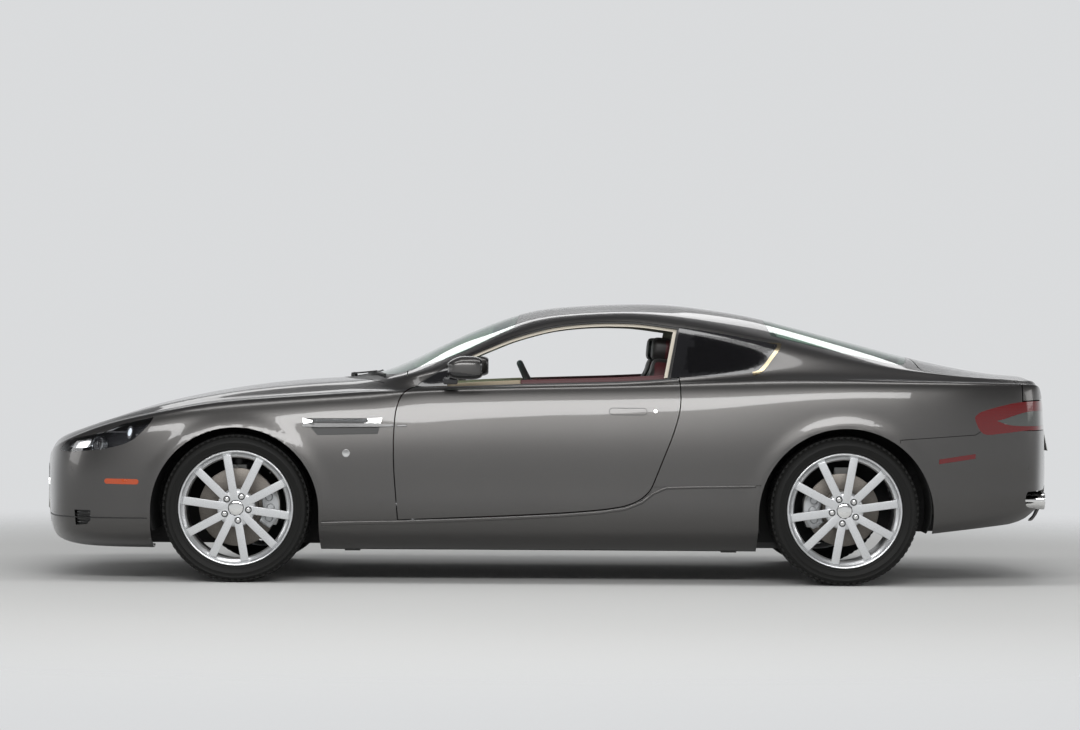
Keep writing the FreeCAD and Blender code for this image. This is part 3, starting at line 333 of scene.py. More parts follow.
def discard(piece):
    mesh = piece.data
    bpy.data.objects.remove(piece)
    bpy.data.meshes.remove(mesh)


def clearTools():
    for tool in [o for o in scene.objects if o.name.startswith("tool")]:
        discard(tool)


def mirrored(piece, name):
    twin = piece.copy()
    twin.data = piece.data.copy()
    named(twin, name)
    twin.data.transform(Matrix.Diagonal((1, -1, 1, 1)))
    twin.data.flip_normals()
    scene.collection.objects.link(twin)
    if piece.name in sheenOf:
        keepSheen(twin, *sheenOf[piece.name])
    return twin


def rounded(outline, steps=4, sharp=()):
    # runs a smooth curve through an outline, keeping the corners listed
    count = len(outline)
    points = []
    for i in range(count):
        a, b, c, d = (Vector(outline[(i + k) % count]) for k in (-1, 0, 1, 2))
        if i in sharp:
            a = 2 * b - c
        if (i + 1) % count in sharp:
            d = 2 * c - b
        for step in range(steps):
            t = step / steps
            lean = land = c - b
            if i not in sharp:
                lean = (c - a) * 0.5 * min(1, (c - b).length / max((b - a).length, 1e-9))
            if (i + 1) % count not in sharp:
                land = (d - b) * 0.5 * min(1, (c - b).length / max((d - c).length, 1e-9))
            h = 2 * t ** 3 - 3 * t ** 2 + 1, t ** 3 - 2 * t ** 2 + t, 3 * t ** 2 - 2 * t ** 3, t ** 3 - t ** 2
            points.append(tuple(b * h[0] + lean * h[1] + c * h[2] + land * h[3]))
    return points


def grown(outline, gap):
    # moves an outline outwards by the gap
    count = len(outline)
    area = sum(outline[i][0] * outline[(i + 1) % count][1] - outline[(i + 1) % count][0] * outline[i][1]
               for i in range(count))
    turn = 1 if area > 0 else -1
    moved = []
    for i in range(count):
        a, b, c = (Vector(outline[(i + k) % count]) for k in (-1, 0, 1))
        n1 = Vector(((b - a).y, (a - b).x)).normalized()
        n2 = Vector(((c - b).y, (b - c).x)).normalized()
        mean = n1 + n2
        mean = mean * (2 / max(mean.length_squared, 1.2))
        moved.append(tuple(b + mean * gap * turn))
    return moved


def prism(outline, low, high, plane="side", taper=0):
    # closed block: a side outline (x, z) across the car, a plan outline (x, y) upwards or an
    # end outline (y, z) along it; its far end may be smaller by the taper
    bm = bmesh.new()
    lift = (lambda p, h: (p[0] * mm, h * mm, p[1] * mm)) if plane == "side" else (
        (lambda p, h: (p[0] * mm, p[1] * mm, h * mm)) if plane == "plan" else
        (lambda p, h: (h * mm, p[0] * mm, p[1] * mm)))
    face = bm.faces.new([bm.verts.new(lift(p, low)) for p in outline])
    top = bmesh.ops.extrude_face_region(bm, geom=[face])["geom"]
    way = Vector(lift((0, 0), high - low))
    moved = [v for v in top if isinstance(v, bmesh.types.BMVert)]
    bmesh.ops.translate(bm, vec=way, verts=moved)
    shrunk = grown(outline, -taper) if taper else []
    for vertex in moved if taper else []:
        index = min(range(len(outline)), key=lambda i: (vertex.co - Vector(lift(outline[i], high))).length)
        vertex.co = lift(shrunk[index], high)
    bmesh.ops.recalc_face_normals(bm, faces=bm.faces)
    return place("tool", bm)


def block(x0, x1, y0, y1, z0, z1):
    return prism([(x0, z0), (x1, z0), (x1, z1), (x0, z1)], y0, y1)


def sideTool(outline, extra=0, inner=-200):
    # cuts the left side inside a side outline, in to the inner distance
    return prism(grown(outline, extra) if extra else outline, -wide, inner)


def twoSides(outline, extra=0, inner=-200):
    return [sideTool(outline, extra, inner), prism(grown(outline, extra) if extra else outline, -inner, wide)]


def planTool(outline, extra=0, low=500):
    # cuts downwards inside a plan outline, to the height given
    return prism(grown(outline, extra) if extra else outline, low, 1500, "plan")


def drum(x, z, radius, y0, y1, steps=120):
    ring = [(x + radius * math.cos(math.tau * i / steps), z + radius * math.sin(math.tau * i / steps))
            for i in range(steps)]
    return prism(ring, y0, y1)


def archLine(x, z, radius, foot=-50, steps=60):
    # wheel arch outline: half round above the centre, upright below it
    ring = [(x + radius * math.cos(math.pi * i / steps), z + radius * math.sin(math.pi * i / steps))
            for i in range(steps + 1)]
    return ring + [(x - radius, foot), (x + radius, foot)]


# Half sections nose to tail: x, then height and half width of the bottom edge, sill crease,
# widest point, shoulder, belt and roof rail, and the height on the centre plane.
skinSet = {
    #     x     bottom     crease     waist      shoulder   belt       rail       crown
    "stations": [
        (-2343, 395, 101, 400, 122, 425, 139, 478, 126, 486, 101, 492, 71, 496),
        (-2330, 270, 182, 315, 231, 430, 270, 535, 237, 551, 193, 560, 132, 567),
        (-2300, 208, 301, 262, 382, 430, 433, 560, 393, 584, 328, 598, 217, 608),
        (-2240, 178, 526, 230, 639, 430, 697, 592, 649, 622, 564, 640, 376, 651),
        (-2130, 156, 650, 215, 795, 440, 832, 640, 782, 668, 690, 681, 450, 689),
        (-1980, 150, 700, 210, 862, 460, 888, 695, 842, 716, 722, 733, 480, 745),
        (-1800, 150, 740, 215, 888, 500, 912, 738, 866, 761, 712, 788, 480, 800),
        (-1600, 150, 750, 225, 898, 520, 925, 778, 865, 801, 702, 831, 480, 845),
        (-1400, 150, 755, 235, 903, 540, 930, 802, 862, 831, 694, 865, 470, 880),
        (-1150, 150, 760, 247, 903, 560, 923, 820, 860, 853, 690, 893, 460, 909),
        (-960, 150, 760, 247, 903, 570, 916, 831, 856, 869, 694, 908, 458, 922),
        (-800, 150, 760, 247, 902, 576, 912, 838, 853, 884, 708, 922, 480, 944),
        (-620, 150, 760, 247, 902, 580, 909, 846, 851, 879, 786, 948, 702, 1013),
        (-450, 150, 760, 247, 902, 580, 908, 854, 851, 884, 786, 994, 674, 1096),
        (-300, 150, 760, 247, 902, 580, 908, 859, 851, 889, 783, 1064, 654, 1161),
        (-120, 150, 760, 247, 902, 580, 908, 864, 851, 896, 779, 1144, 632, 1225),
        (60, 150, 760, 247, 902, 580, 908, 868, 851, 902, 775, 1184, 620, 1256),
        (300, 150, 760, 249, 903, 580, 909, 874, 851, 909, 769, 1200, 610, 1271),
        (450, 150, 760, 250, 904, 580, 910, 879, 852, 916, 763, 1196, 605, 1274),
        (640, 150, 760, 252, 905, 582, 913, 886, 854, 929, 753, 1174, 600, 1265),
        (900, 150, 760, 254, 906, 590, 920, 896, 864, 948, 742, 1128, 588, 1228),
        (1075, 150, 760, 256, 905, 600, 927, 901, 877, 957, 748, 1092, 584, 1191),
        (1340, 152, 750, 258, 898, 610, 932, 902, 892, 952, 772, 1040, 606, 1123),
        (1560, 160, 730, 260, 888, 610, 930, 901, 893, 940, 784, 994, 644, 1066),
        (1700, 172, 710, 268, 877, 610, 920, 901, 884, 931, 780, 972, 668, 1030),
        (1900, 196, 680, 290, 848, 600, 893, 901, 860, 921, 752, 947, 654, 986),
        (2100, 228, 620, 320, 790, 580, 838, 897, 806, 914, 702, 933, 590, 953),
        (2215, 262, 550, 342, 728, 565, 778, 890, 742, 908, 642, 926, 500, 944),
        (2262, 290, 450, 352, 619, 556, 664, 862, 630, 884, 538, 900, 405, 915),
        (2300, 330, 318, 378, 444, 530, 488, 745, 451, 775, 385, 792, 281, 800),
        (2343, 380, 134, 400, 181, 470, 210, 560, 193, 585, 160, 598, 109, 604),
        (2350, 420, 82, 430, 112, 468, 129, 520, 119, 532, 95, 540, 65, 543),
    ],
    "beltBulge": 4, "glassBulge": 9, "underFold": 60, "rounds": 2, "levels": 3,
    "frontArch": (-1402, 320, 380), "rearArch": (1349, 313, 396), "flare": 7, "flareReach": 70,
}


def arcPoint(a, b, c, share):
    # a point on the arc a-b-c; share 0 to 1 covers a to b, 1 to 2 covers b to c
    d = 2 * (a.x * (b.y - c.y) + b.x * (c.y - a.y) + c.x * (a.y - b.y))
    ux = (a.length_squared * (b.y - c.y) + b.length_squared * (c.y - a.y) + c.length_squared * (a.y - b.y)) / d
    uy = (a.length_squared * (c.x - b.x) + b.length_squared * (a.x - c.x) + c.length_squared * (b.x - a.x)) / d
    hub = Vector((ux, uy))
    first, last = (a - hub, b - hub) if share <= 1 else (b - hub, c - hub)
    start = math.atan2(first.y, first.x)
    turn = (math.atan2(last.y, last.x) - start + math.pi) % math.tau - math.pi
    angle = start + turn * (share if share <= 1 else share - 1)
    return hub + Vector((math.cos(angle), math.sin(angle))) * first.length


def halfSection(row):
    # control points from under the sill to the centre plane, as (half width, height)
    bottom, crease, waist, shoulder, belt, rail = (Vector((row[i + 1], row[i])) for i in range(1, 13, 2))
    crown = Vector((0, row[13]))

    def bowed(a, b, rise, share=0.5):
        out = Vector((b.y - a.y, a.x - b.x)).normalized()
        return a.lerp(b, share) + out * rise

    far = Vector((-rail.x, rail.y))
    return [bottom + Vector((-skinSet["underFold"], 3)), bottom, crease, arcPoint(crease, waist, shoulder, 0.5),
            waist, arcPoint(crease, waist, shoulder, 1.5), shoulder, bowed(shoulder, belt, skinSet["beltBulge"]),
            belt, bowed(belt, rail, skinSet["glassBulge"]), rail, arcPoint(rail, crown, far, 0.33),
            arcPoint(rail, crown, far, 0.66), crown]


def skinCage():
    rows = []
    for row in skinSet["stations"]:
        half = [(row[0], -p.x, p.y) for p in halfSection(row)]
        rows.append(half + [(x, -y, z) for x, y, z in half[-2::-1]])
    ends = []
    for row, x in ((rows[0], -2347), (rows[-1], 2354)):
        low, high = row[1][2], row[len(row) // 2][2]
        middle = (low + high) / 2
        ends.append([(x, y * 0.8, middle) for _, y, z in row])
    target = np.array([ends[0]] + rows + [ends[1]])
    cage = target.copy()
    for _ in range(skinSet["rounds"]):  # the smoothed skin then runs through the points given
        limit = cage.copy()
        limit[1:-1] = (cage[:-2] + 4 * cage[1:-1] + cage[2:]) / 6
        across = limit.copy()
        across[:, 1:-1] = (limit[:, :-2] + 4 * limit[:, 1:-1] + limit[:, 2:]) / 6
        gap = target - across
        gap[:2] = gap[-2:] = 0
        gap[:, :1] = gap[:, -1:] = 0
        cage += gap
    return cage * mm


def makeSkin():
    cage = skinCage()
    rows, columns = cage.shape[:2]
    bm = bmesh.new()
    bmesh.ops.create_grid(bm, x_segments=rows - 1, y_segments=columns - 1, size=1)
    for vertex in bm.verts:
        i = round((vertex.co.x + 1) / 2 * (rows - 1))
        j = round((vertex.co.y + 1) / 2 * (columns - 1))
        vertex.co = cage[i, j]
    bmesh.ops.remove_doubles(bm, verts=bm.verts, dist=0.0002)
    bmesh.ops.recalc_face_normals(bm, faces=bm.faces)
    top = max(bm.faces, key=lambda face: face.calc_center_median().z)
    if top.normal.z < 0:
        bmesh.ops.reverse_faces(bm, faces=bm.faces)
    skin = refine(place("skin", bm), skinSet["levels"])
    for x, z, radius in (skinSet["frontArch"], skinSet["rearArch"]):
        for vertex in skin.data.vertices:
            co = vertex.co
            away = math.hypot(co.x - x * mm, co.z - z * mm) - radius * mm
            share = max(0.0, 1 - abs(away) / (skinSet["flareReach"] * mm))
            if share and co.z > z * mm * 0.7:
                lift = share * share * (3 - 2 * share) * skinSet["flare"] * mm
                co.y += math.copysign(lift, co.y)
    skin.data.update()
    return skin


skin = makeSkin()
skinCorners = [v.co.copy() for v in skin.data.vertices]
skinNormals = [v.normal.copy() for v in skin.data.vertices]
skinFaces = [tuple(p.vertices) for p in skin.data.polygons]
skinTree = BVHTree.FromPolygons(skinCorners, skinFaces)
print("skin made", len(skinFaces), "faces")


def skinNormal(point):
    spot, normal, index, distance = skinTree.find_nearest(point)
    corners = skinFaces[index]
    weights = poly_3d_calc([skinCorners[i] for i in corners], spot)
    smooth = sum((skinNormals[i] * w for i, w in zip(corners, weights)), Vector())
    return smooth.normalized(), normal, distance, spot


def skinAt(x, z):
    # outer skin on the left at a side place, in metres
    hit = skinTree.ray_cast(Vector((x, -1.5, z)), Vector((0, 1, 0)))[0]
    return hit.y if hit else None


def skinOver(x, y):
    hit = skinTree.ray_cast(Vector((x, y, 2)), Vector((0, 0, -1)))[0]
    return hit.z if hit else None


sheenOf = {}


def keepSheen(piece, lift=0.0, wall=0.0):
    # faces on the skin take the skin's own normals, so cuts don't disturb the reflections
    sheenOf[piece.name] = lift, wall
    mesh = piece.data
    smooth = [skinNormal(v.co) for v in mesh.vertices]
    normals = []
    for polygon in mesh.polygons:
        flat = polygon.normal
        lean = sum(flat.dot(smooth[i][0]) for i in polygon.vertices) / len(polygon.vertices)
        depth = abs(lift if lean > 0 else lift - wall)
        onSkin = (abs(lean) > 0.4 and (lean > 0 or wall > 0)
                  and all(abs(smooth[i][2] - depth) < 0.0012 for i in polygon.vertices))
        turn = 1 if lean > 0 else -1
        normals += [smooth[i][0] * turn if onSkin else flat for i in polygon.vertices]
    mesh.polygons.foreach_set("use_smooth", [True] * len(mesh.polygons))
    mesh.normals_split_custom_set(normals)
    return piece


def skinSheet(span, wall, lift=0.0, side=0):
    # the part of the skin between two stations as a closed wall
    bm = bmesh.new()
    bm.from_mesh(skin.data)
    far = [f for f in bm.faces if not span[0] * mm < f.calc_center_median().x < span[1] * mm
           or side * f.calc_center_median().y < -0.03]
    bmesh.ops.delete(bm, geom=far, context="FACES")
    if lift:
        for vertex in bm.verts:
            vertex.co += skinNormal(vertex.co)[0] * lift * mm
    sheet = place("sheet", bm)
    step = sheet.modifiers.new("wall", "SOLIDIFY")
    step.thickness, step.offset, step.use_even_offset = wall * mm, -1, False
    return settle(sheet)


def shaped(piece, name, keep, drop, *looks):
    # crops and cuts a piece, which then takes its name and looks
    for tool in keep:
        carve(piece, tool, "INTERSECT")
    for tool in drop:
        carve(piece, tool)
    piece.data.materials.clear()
    return dressed(named(piece, name), *looks)


def panel(name, span, wall, keep=(), drop=(), lift=0.0, side=0, look="paint"):
    piece = skinSheet(span, wall, lift, side)
    shaped(piece, name, keep, drop, look)
    if not len(piece.data.polygons):
        raise RuntimeError("nothing left of " + name)
    return keepSheen(piece, lift * mm, wall * mm)


def bodyBlock(name, inset, keep, drop, *looks):
    # a thick piece of the body whose outside lies under the skin by the inset
    bm = bmesh.new()
    bm.from_mesh(skin.data)
    for vertex in bm.verts:
        vertex.co -= skinNormals[vertex.index] * inset * mm
    edge = [e for e in bm.edges if len(e.link_faces) == 1]
    bmesh.ops.holes_fill(bm, edges=edge)
    bmesh.ops.recalc_face_normals(bm, faces=bm.faces)
    piece = shaped(place(name, bm), name, keep, drop, *looks)
    piece.data.polygons.foreach_set("use_smooth", [False] * len(piece.data.polygons))
    return piece


def ownPiece(piece, body, slot=None, *nodes):
    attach(piece, body)
    if nodes:
        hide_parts(*nodes)
    return piece


def paired(piece, body, slot=None, *nodes):
    # adds the twin on the right; a body or node named for the left has its own there
    twin = mirrored(piece, piece.name.replace("Left", "Right"))
    ownPiece(piece, body, slot, *nodes)
    ownPiece(twin, body.replace("left", "right"), slot, *[n.replace("left", "right") for n in nodes if "left" in n])
    return piece, twin


# Side outlines are (x, z), plan outlines (x, y), in millimetres, on the left.
doorFront = [(-666, 289), (-675, 397), (-684, 509), (-687, 644), (-680, 766), (-662, 829), (-639, 861), (-608, 879)]
doorBelt = [(-450, 886), (-300, 891), (-120, 899), (60, 904), (300, 911), (450, 918)]
doorRear = [(598, 930), (602, 832), (593, 764), (566, 674), (521, 561), (485, 471), (463, 426), (418, 385),
            (351, 357)]
doorFoot = [(238, 339), (58, 324), (-212, 309), (-437, 299)]
door = rounded(doorFront + doorBelt + doorRear + doorFoot, 4, (0, 7, 14))
doorWindow = rounded([(-606, 850), (-612, 876), (-536, 931), (-444, 986), (-353, 1035), (-261, 1075), (-169, 1112),
                      (-78, 1140), (14, 1163), (105, 1177), (197, 1185), (289, 1188), (426, 1184), (605, 1161),
                      (556, 925), (556, 850)], 4, (0, 1, 13, 14, 15))
quarterWindow = rounded([(596, 936), (783, 944), (910, 956), (964, 970), (1018, 1032), (1055, 1083), (1022, 1091),
                         (930, 1107), (793, 1133), (651, 1154)], 4, (0, 9))
frontSeam = [(-1990, 545), (-1861, 511), (-1834, 498), (-1640, 498)]
sillTop = [(-1100, 274), (-667, 279), (-437, 289), (-212, 299), (58, 314), (238, 329), (355, 346), (424, 375),
           (470, 418), (478, 440), (1100, 452)]
frontBumper = [(-2450, -50), (-1640, -50)] + frontSeam[::-1] + [(-1990, 1050), (-2450, 1050)]
wing = (frontSeam + [(-1640, 200), (-1100, 200), (-1100, 274), (-667, 279)] + doorFront
        + [(-636, 930), (-660, 1050), (-1990, 1050)])
sill = [(-1100, 0)] + sillTop + [(1100, 0)]
rearBumper = [(1590, 0), (1590, 657), (1932, 681), (1963, 700), (2450, 700), (2450, 0)]
headlamp = rounded([(-2220, 585), (-2174, 631), (-2083, 654), (-1983, 677), (-1910, 710), (-1773, 742),
                    (-1787, 715), (-1855, 646), (-1910, 618), (-1983, 600), (-2151, 581)], 4, (0, 5))
tailLamp = rounded([(1929, 760), (1963, 788), (2140, 830), (2450, 838), (2450, 700), (2185, 703), (2054, 689),
                    (1967, 688)], 4, (3, 4))
vent = [(-1099, 741), (-743, 743), (-760, 672), (-1031, 665)]
duct = [(-2133, 321), (-2056, 321), (-2056, 276), (-2074, 257), (-2128, 252)]
rearMarker = [(1765, 572), (1932, 597), (1932, 576), (1765, 551)]
bonnetEdge = [(-2255, 0), (-2238, -250), (-2192, -440), (-2100, -560), (-1960, -650), (-1810, -705), (-1500, -700),
              (-1100, -690), (-800, -695), (-744, -690), (-800, -600), (-880, -420), (-935, -220), (-961, 0)]
screenEdge = [(-818, 0), (-795, -280), (-740, -480), (-690, -590), (-620, -628), (-450, -612), (-300, -596),
              (-150, -560), (-135, -300), (-127, 0)]
backlightEdge = [(1016, 0), (1018, -300), (1032, -515), (1300, -556), (1600, -606), (1640, -560), (1676, -300),
                 (1686, 0)]
bootEdge = [(1706, 0), (1706, -600), (1729, -690), (1900, -668), (2133, -650), (2156, -720), (2156, -930),
            (2450, -930), (2450, 0)]
cowlEdge = [(-980, 0), (-980, -400), (-740, -652), (-690, -600), (-690, 0)]
mouth = [(-330, 236), (-380, 330), (-360, 470), (-250, 512), (250, 512), (360, 470), (380, 330), (330, 236)]

pipeSet = {"tips": [(-600, 376), (-510, 376)], "radius": 39, "front": 2150,
           "notch": [(2148, 150), (2148, 285), (2185, 303), (2234, 347), (2184, 354), (2172, 385), (2184, 424),
                     (2450, 424), (2450, 150)],
           "foot": [(1500, -100), (1500, 214), (1752, 234), (2105, 273), (2148, 285), (2148, -100)]}


def wholePlan(edge, sharp=()):
    # a plan outline closed with its mirror image, with a smooth run
    other = [(x, -y) for x, y in edge[::-1] if y]
    whole = edge + other
    flip = [(len(whole) - i) % len(whole) if edge[0][1] == 0 else len(whole) - 1 - i for i in sharp]
    return rounded(whole, 4, tuple(sharp) + tuple(flip))


bonnetRun, screenRun = wholePlan(bonnetEdge, (9,)), wholePlan(screenEdge, (3, 7))
backRun, bootRun = wholePlan(backlightEdge, (2, 4)), wholePlan(bootEdge, (1, 4, 6, 7))
clearPart = rounded([(2030, 746), (2062, 753), (2140, 778), (2200, 790), (2450, 796), (2450, 722), (2160, 722),
                     (2090, 727)], 3, (0, 4, 5))


def makePanels():
    frontArches, rearArches = (twoSides(archLine(*skinSet[key]), 0, -560) for key in ("frontArch", "rearArch"))
    bonnetGap, bootGap = planTool(bonnetRun, gap), planTool(bootRun, gap, 705 - gap)
    screenTool, backTool = planTool(screenRun, 0, 860), planTool(backRun, 0, 950)
    cowlTool = planTool(wholePlan(cowlEdge, (1, 2, 3)), 0, 800)
    roofTool = block(-160, 1060, -545, 545, 1000, 1500)
    lampCut, tailCut = twoSides(headlamp, 0, 0), twoSides(tailLamp, 0, -430)
    doorGap = sideTool(door, gap, 0)

    ownPiece(panel("bonnetSkin", (-2400, -600), 14, [planTool(bonnetRun)], lampCut), "bonnet_lid", "paint", "bonnet")
    bumper = panel("frontBumperSkin", (-2400, -1600), 9, [sideTool(frontBumper, 0, wide)],
                   [bonnetGap, *lampCut, prism(rounded(mouth, 5), -2500, -2080, "end"), *twoSides(duct, 0, -500),
                    *frontArches])
    ownPiece(bumper, "body", "paint", "front_bumper")
    piece = panel("wingLeft", (-2050, -560), 10, [sideTool(wing)],
                  [bonnetGap, cowlTool, screenTool, lampCut[0], doorGap, frontArches[0], sideTool(vent, 0, -500)],
                  side=-1)
    paired(piece, "body", "paint", "front_wing_left")
    piece = panel("doorSkinLeft", (-720, 650), 12, [sideTool(door, 0, 0)], side=-1)
    paired(piece, "left_door", "paint", "door_left")
    piece = panel("sillSkinLeft", (-1150, 1150), 12, [sideTool(sill, 0, 0)],
                  [doorGap, frontArches[0], rearArches[0]], side=-1)
    paired(piece, "body", "paint", "sill_left")
    piece = panel("sideLeft", (-700, 2330), 12, [block(-634, 2400, -wide, -10, -50, 1500)],
                  [screenTool, backTool, doorGap, sideTool(sill, gap / 2, 0), sideTool(wing, 0, 0),
                   sideTool(doorWindow, 0, -300), sideTool(quarterWindow, 0, -300), sideTool(rearBumper, gap / 2, 0),
                   tailCut[0], bootGap, rearArches[0], roofTool], side=-1)
    paired(piece, "body", "paint", "body_side_left")
    piece = panel("railLeft", (-640, 1420), 26, [block(-634, 1380, -wide, -10, 925, 1500)],
                  [screenTool, backTool, doorGap, sideTool(doorWindow, -24, -300), sideTool(quarterWindow, -12, -300),
                   roofTool], lift=-11, side=-1, look="cream")
    paired(piece, "body", "trim_light")

    ownPiece(panel("roofSkin", (-300, 1340), 12, [roofTool], [screenTool, backTool]), "body", "paint", "roof_panel")
    lining = panel("headliner", (-300, 1340), 24, [roofTool], [screenTool, backTool], lift=-11.5, look="cream")
    ownPiece(lining, "body", "trim_light")
    cowl = panel("cowlSkin", (-1050, -600), 10, [cowlTool], [bonnetGap, screenTool], look="satin")
    ownPiece(cowl, "body", "black_plastic", "cowl_panel")
    tail = panel("rearBumperSkin", (1500, 2400), 9, [sideTool(rearBumper, 0, wide)],
                 [*rearArches, *tailCut, *twoSides(rounded(pipeSet["notch"], 4, (0, 1, 3, 7, 8)), 0, -446),
                  prism(pipeSet["foot"], -wide, wide)])
    ownPiece(tail, "body", "paint", "rear_bumper")
    lid = panel("bootSkin", (1600, 2400), 12, [planTool(bootRun, 0, 705)], twoSides(tailLamp, gap, -425))
    ownPiece(lid, "boot", "paint", "boot_lid")

    for name, node, span, run, low in (("screenGlass", "windscreen", (-960, 60), screenRun, 860),
                                       ("backGlass", "rear_window", (900, 1900), backRun, 950)):
        ownPiece(panel(name, span, 5, [planTool(run, -0.5, low)], look="glass"), "body", "glass", node)
    pane = panel("quarterGlassLeft", (450, 1340), 4, [sideTool(quarterWindow, -0.5, -300)], side=-1, look="glass",
                 lift=-3)
    paired(pane, "body", "glass", "quarter_windows")
    lens = panel("headlampLensLeft", (-2400, -1600), 3, [lampCut[0]], [bonnetGap], side=-1, look="clear")
    paired(lens, "body", "lamp_front", "headlamps")
    lampTool = sideTool(tailLamp, 0, -431)
    lens = panel("tailLensLeft", (1600, 2400), 4, [lampTool], [sideTool(clearPart, 0, -300)], side=-1, look="redLens")
    paired(lens, "body", "lamp_rear", "tail_lamps")
    lens = panel("tailWindowLeft", (1600, 2400), 4, [lampTool, sideTool(clearPart, -0.4, -300)], side=-1,
                 look="smokeLens")
    paired(lens, "body", "lamp_rear")
    clearTools()


makePanels()
print("panels cut")


insideSet = {
    # x and y of the inner face of the doors and of the cabin's walls
    "doorLine": [(-760, -710), (-450, -706), (60, -698), (640, -676), (700, -672)], "taper": 22,
    "cabin": [(-830, -712), (-450, -712), (60, -704), (640, -682), (900, -662), (1342, -662)],
    "floor": 193, "belt": 925, "rail": 604,
}


def trimmed(piece, *rules):
    # gives faces a material number by the first rule that holds for centre and normal
    for polygon in piece.data.polygons:
        for number, rule in rules:
            if rule(polygon.center / mm, polygon.normal):
                polygon.material_index = number
                break
    return piece


def makeDoors():
    plan = prism(insideSet["doorLine"] + [(700, -wide), (-760, -wide)], 200, 1000, "plan")
    tool = prism(grown(door, -0.6), -905, -660, taper=insideSet["taper"])
    body = bodyBlock("doorBodyLeft", 11, [plan, tool], [], "paint", "dark", "wine")
    trimmed(body, (1, lambda c, n: n.y > 0.8), (2, lambda c, n: n.z > 0.6 and c.z > 850))
    paired(body, "left_door", "trim_dark")
    clearTools()


def makeFrames():
    cabin, low, belt = insideSet["cabin"], insideSet["floor"], insideSet["belt"]
    room = prism(cabin + [(cabin[-1][0], 0), (-830, 0)], low, belt + 60, "plan")
    arches = []
    for key, inner in (("rearArch", -590), ("frontArch", -560)):
        x, z, radius = skinSet[key]
        arches.append(prism(archLine(x, z, radius + 2), -wide, inner))
    drops = [sideTool(door, gap, 0), room, sideTool(doorWindow, 2), drum(-1398, 335, 395, -wide, -480),
             drum(1342, 337.5, 399, -wide, -590), *arches, block(-1200, -790, -wide, 0, 285, 1000),
             block(891, 1400, -wide, 0, 0, 420)]
    piece = bodyBlock("frameLeft", 11, [block(-1094, 1342, -wide, -insideSet["rail"] - 1, 100, belt)], drops,
                      "paint", "dark", "stone")
    trimmed(piece, (2, lambda c, n: n.y > 0.7 and c.x > 600 and c.z > 400),
            (1, lambda c, n: n.y > 0.7 and -c.y < 720), (1, lambda c, n: n.z > 0.7 and c.z < 200))
    paired(piece, "body", "paint")
    clearTools()


wheelSet = {
    # corner, axle x, half track, tyre radius, tyre width, disc radius, caliper side, first spoke
    "corners": [("front_left", -1398, -784, 335, 235, 177, 1, 80), ("front_right", -1398, 784, 335, 235, 177, 1, 80),
                ("rear_left", 1342, -781, 337.5, 275, 165, -1, 100),
                ("rear_right", 1342, 781, 337.5, 275, 165, -1, 100)],
    "rim": 256, "spokeWidth": 37, "spokes": 10, "studs": 57, "steps": 144, "pitches": 72, "treadDepth": 6,
    "ribs": [(0.36, 0.17), (0.18, 0.13), (0.0, 0.15), (-0.18, 0.13), (-0.36, 0.17)],
}


def spun(points, steps, closed=True):
    # a ring turned about the Y axis from (radius, offset) points in millimetres
    bm = bmesh.new()
    verts = [bm.verts.new((r * mm, o * mm, 0)) for r, o in points]
    edges = [bm.edges.new((verts[i], verts[i + 1])) for i in range(len(verts) - 1)]
    if closed:
        edges.append(bm.edges.new((verts[-1], verts[0])))
    bmesh.ops.spin(bm, geom=verts + edges, axis=(0, 1, 0), cent=(0, 0, 0), angle=math.tau, steps=steps,
                   use_merge=True)
    bmesh.ops.remove_doubles(bm, verts=bm.verts, dist=1e-6)
    bmesh.ops.recalc_face_normals(bm, faces=bm.faces)
    return bm


def bar(x0, x1, y0, y1, z0, z1, soft=0.0, segments=2):
    # a block with rounded edges, in millimetres
    bm = bmesh.new()
    bmesh.ops.create_cube(bm, size=1)
    bmesh.ops.scale(bm, verts=bm.verts, vec=((x1 - x0) * mm, (y1 - y0) * mm, (z1 - z0) * mm))
    slid(bm, (x0 + x1) / 2, (y0 + y1) / 2, (z0 + z1) / 2)
    return eased(bm, soft, segments) if soft else bm


def around(bm, count, start=0.0):
    # repeats what is in the mesh around the Y axis
    turned(bm, math.radians(start), "Y")
    geom = bm.verts[:] + bm.edges[:] + bm.faces[:]
    bmesh.ops.spin(bm, geom=geom, axis=(0, 1, 0), cent=(0, 0, 0), angle=math.tau * (count - 1) / count,
                   steps=count - 1, use_duplicate=True)
    return bm


def fused(*parts):
    # one mesh from several, each with its own material slot number
    whole = bmesh.new()
    for part, slot in parts:
        for face in part.faces:
            face.material_index = slot
        mesh = bpy.data.meshes.new("part")
        part.to_mesh(mesh)
        part.free()
        whole.from_mesh(mesh)
        bpy.data.meshes.remove(mesh)
    return whole


def bevelled(piece, width, segments=2, angle=38):
    step = piece.modifiers.new("edges", "BEVEL")
    step.width, step.segments, step.limit_method = width * mm, segments, "ANGLE"
    step.angle_limit, step.profile = math.radians(angle), 0.5
    sheenOf.pop(piece.name, None)
    return settle(piece)


def sharpened(piece, angle=35):
    piece.data.set_sharp_from_angle(angle=math.radians(angle))
    return piece


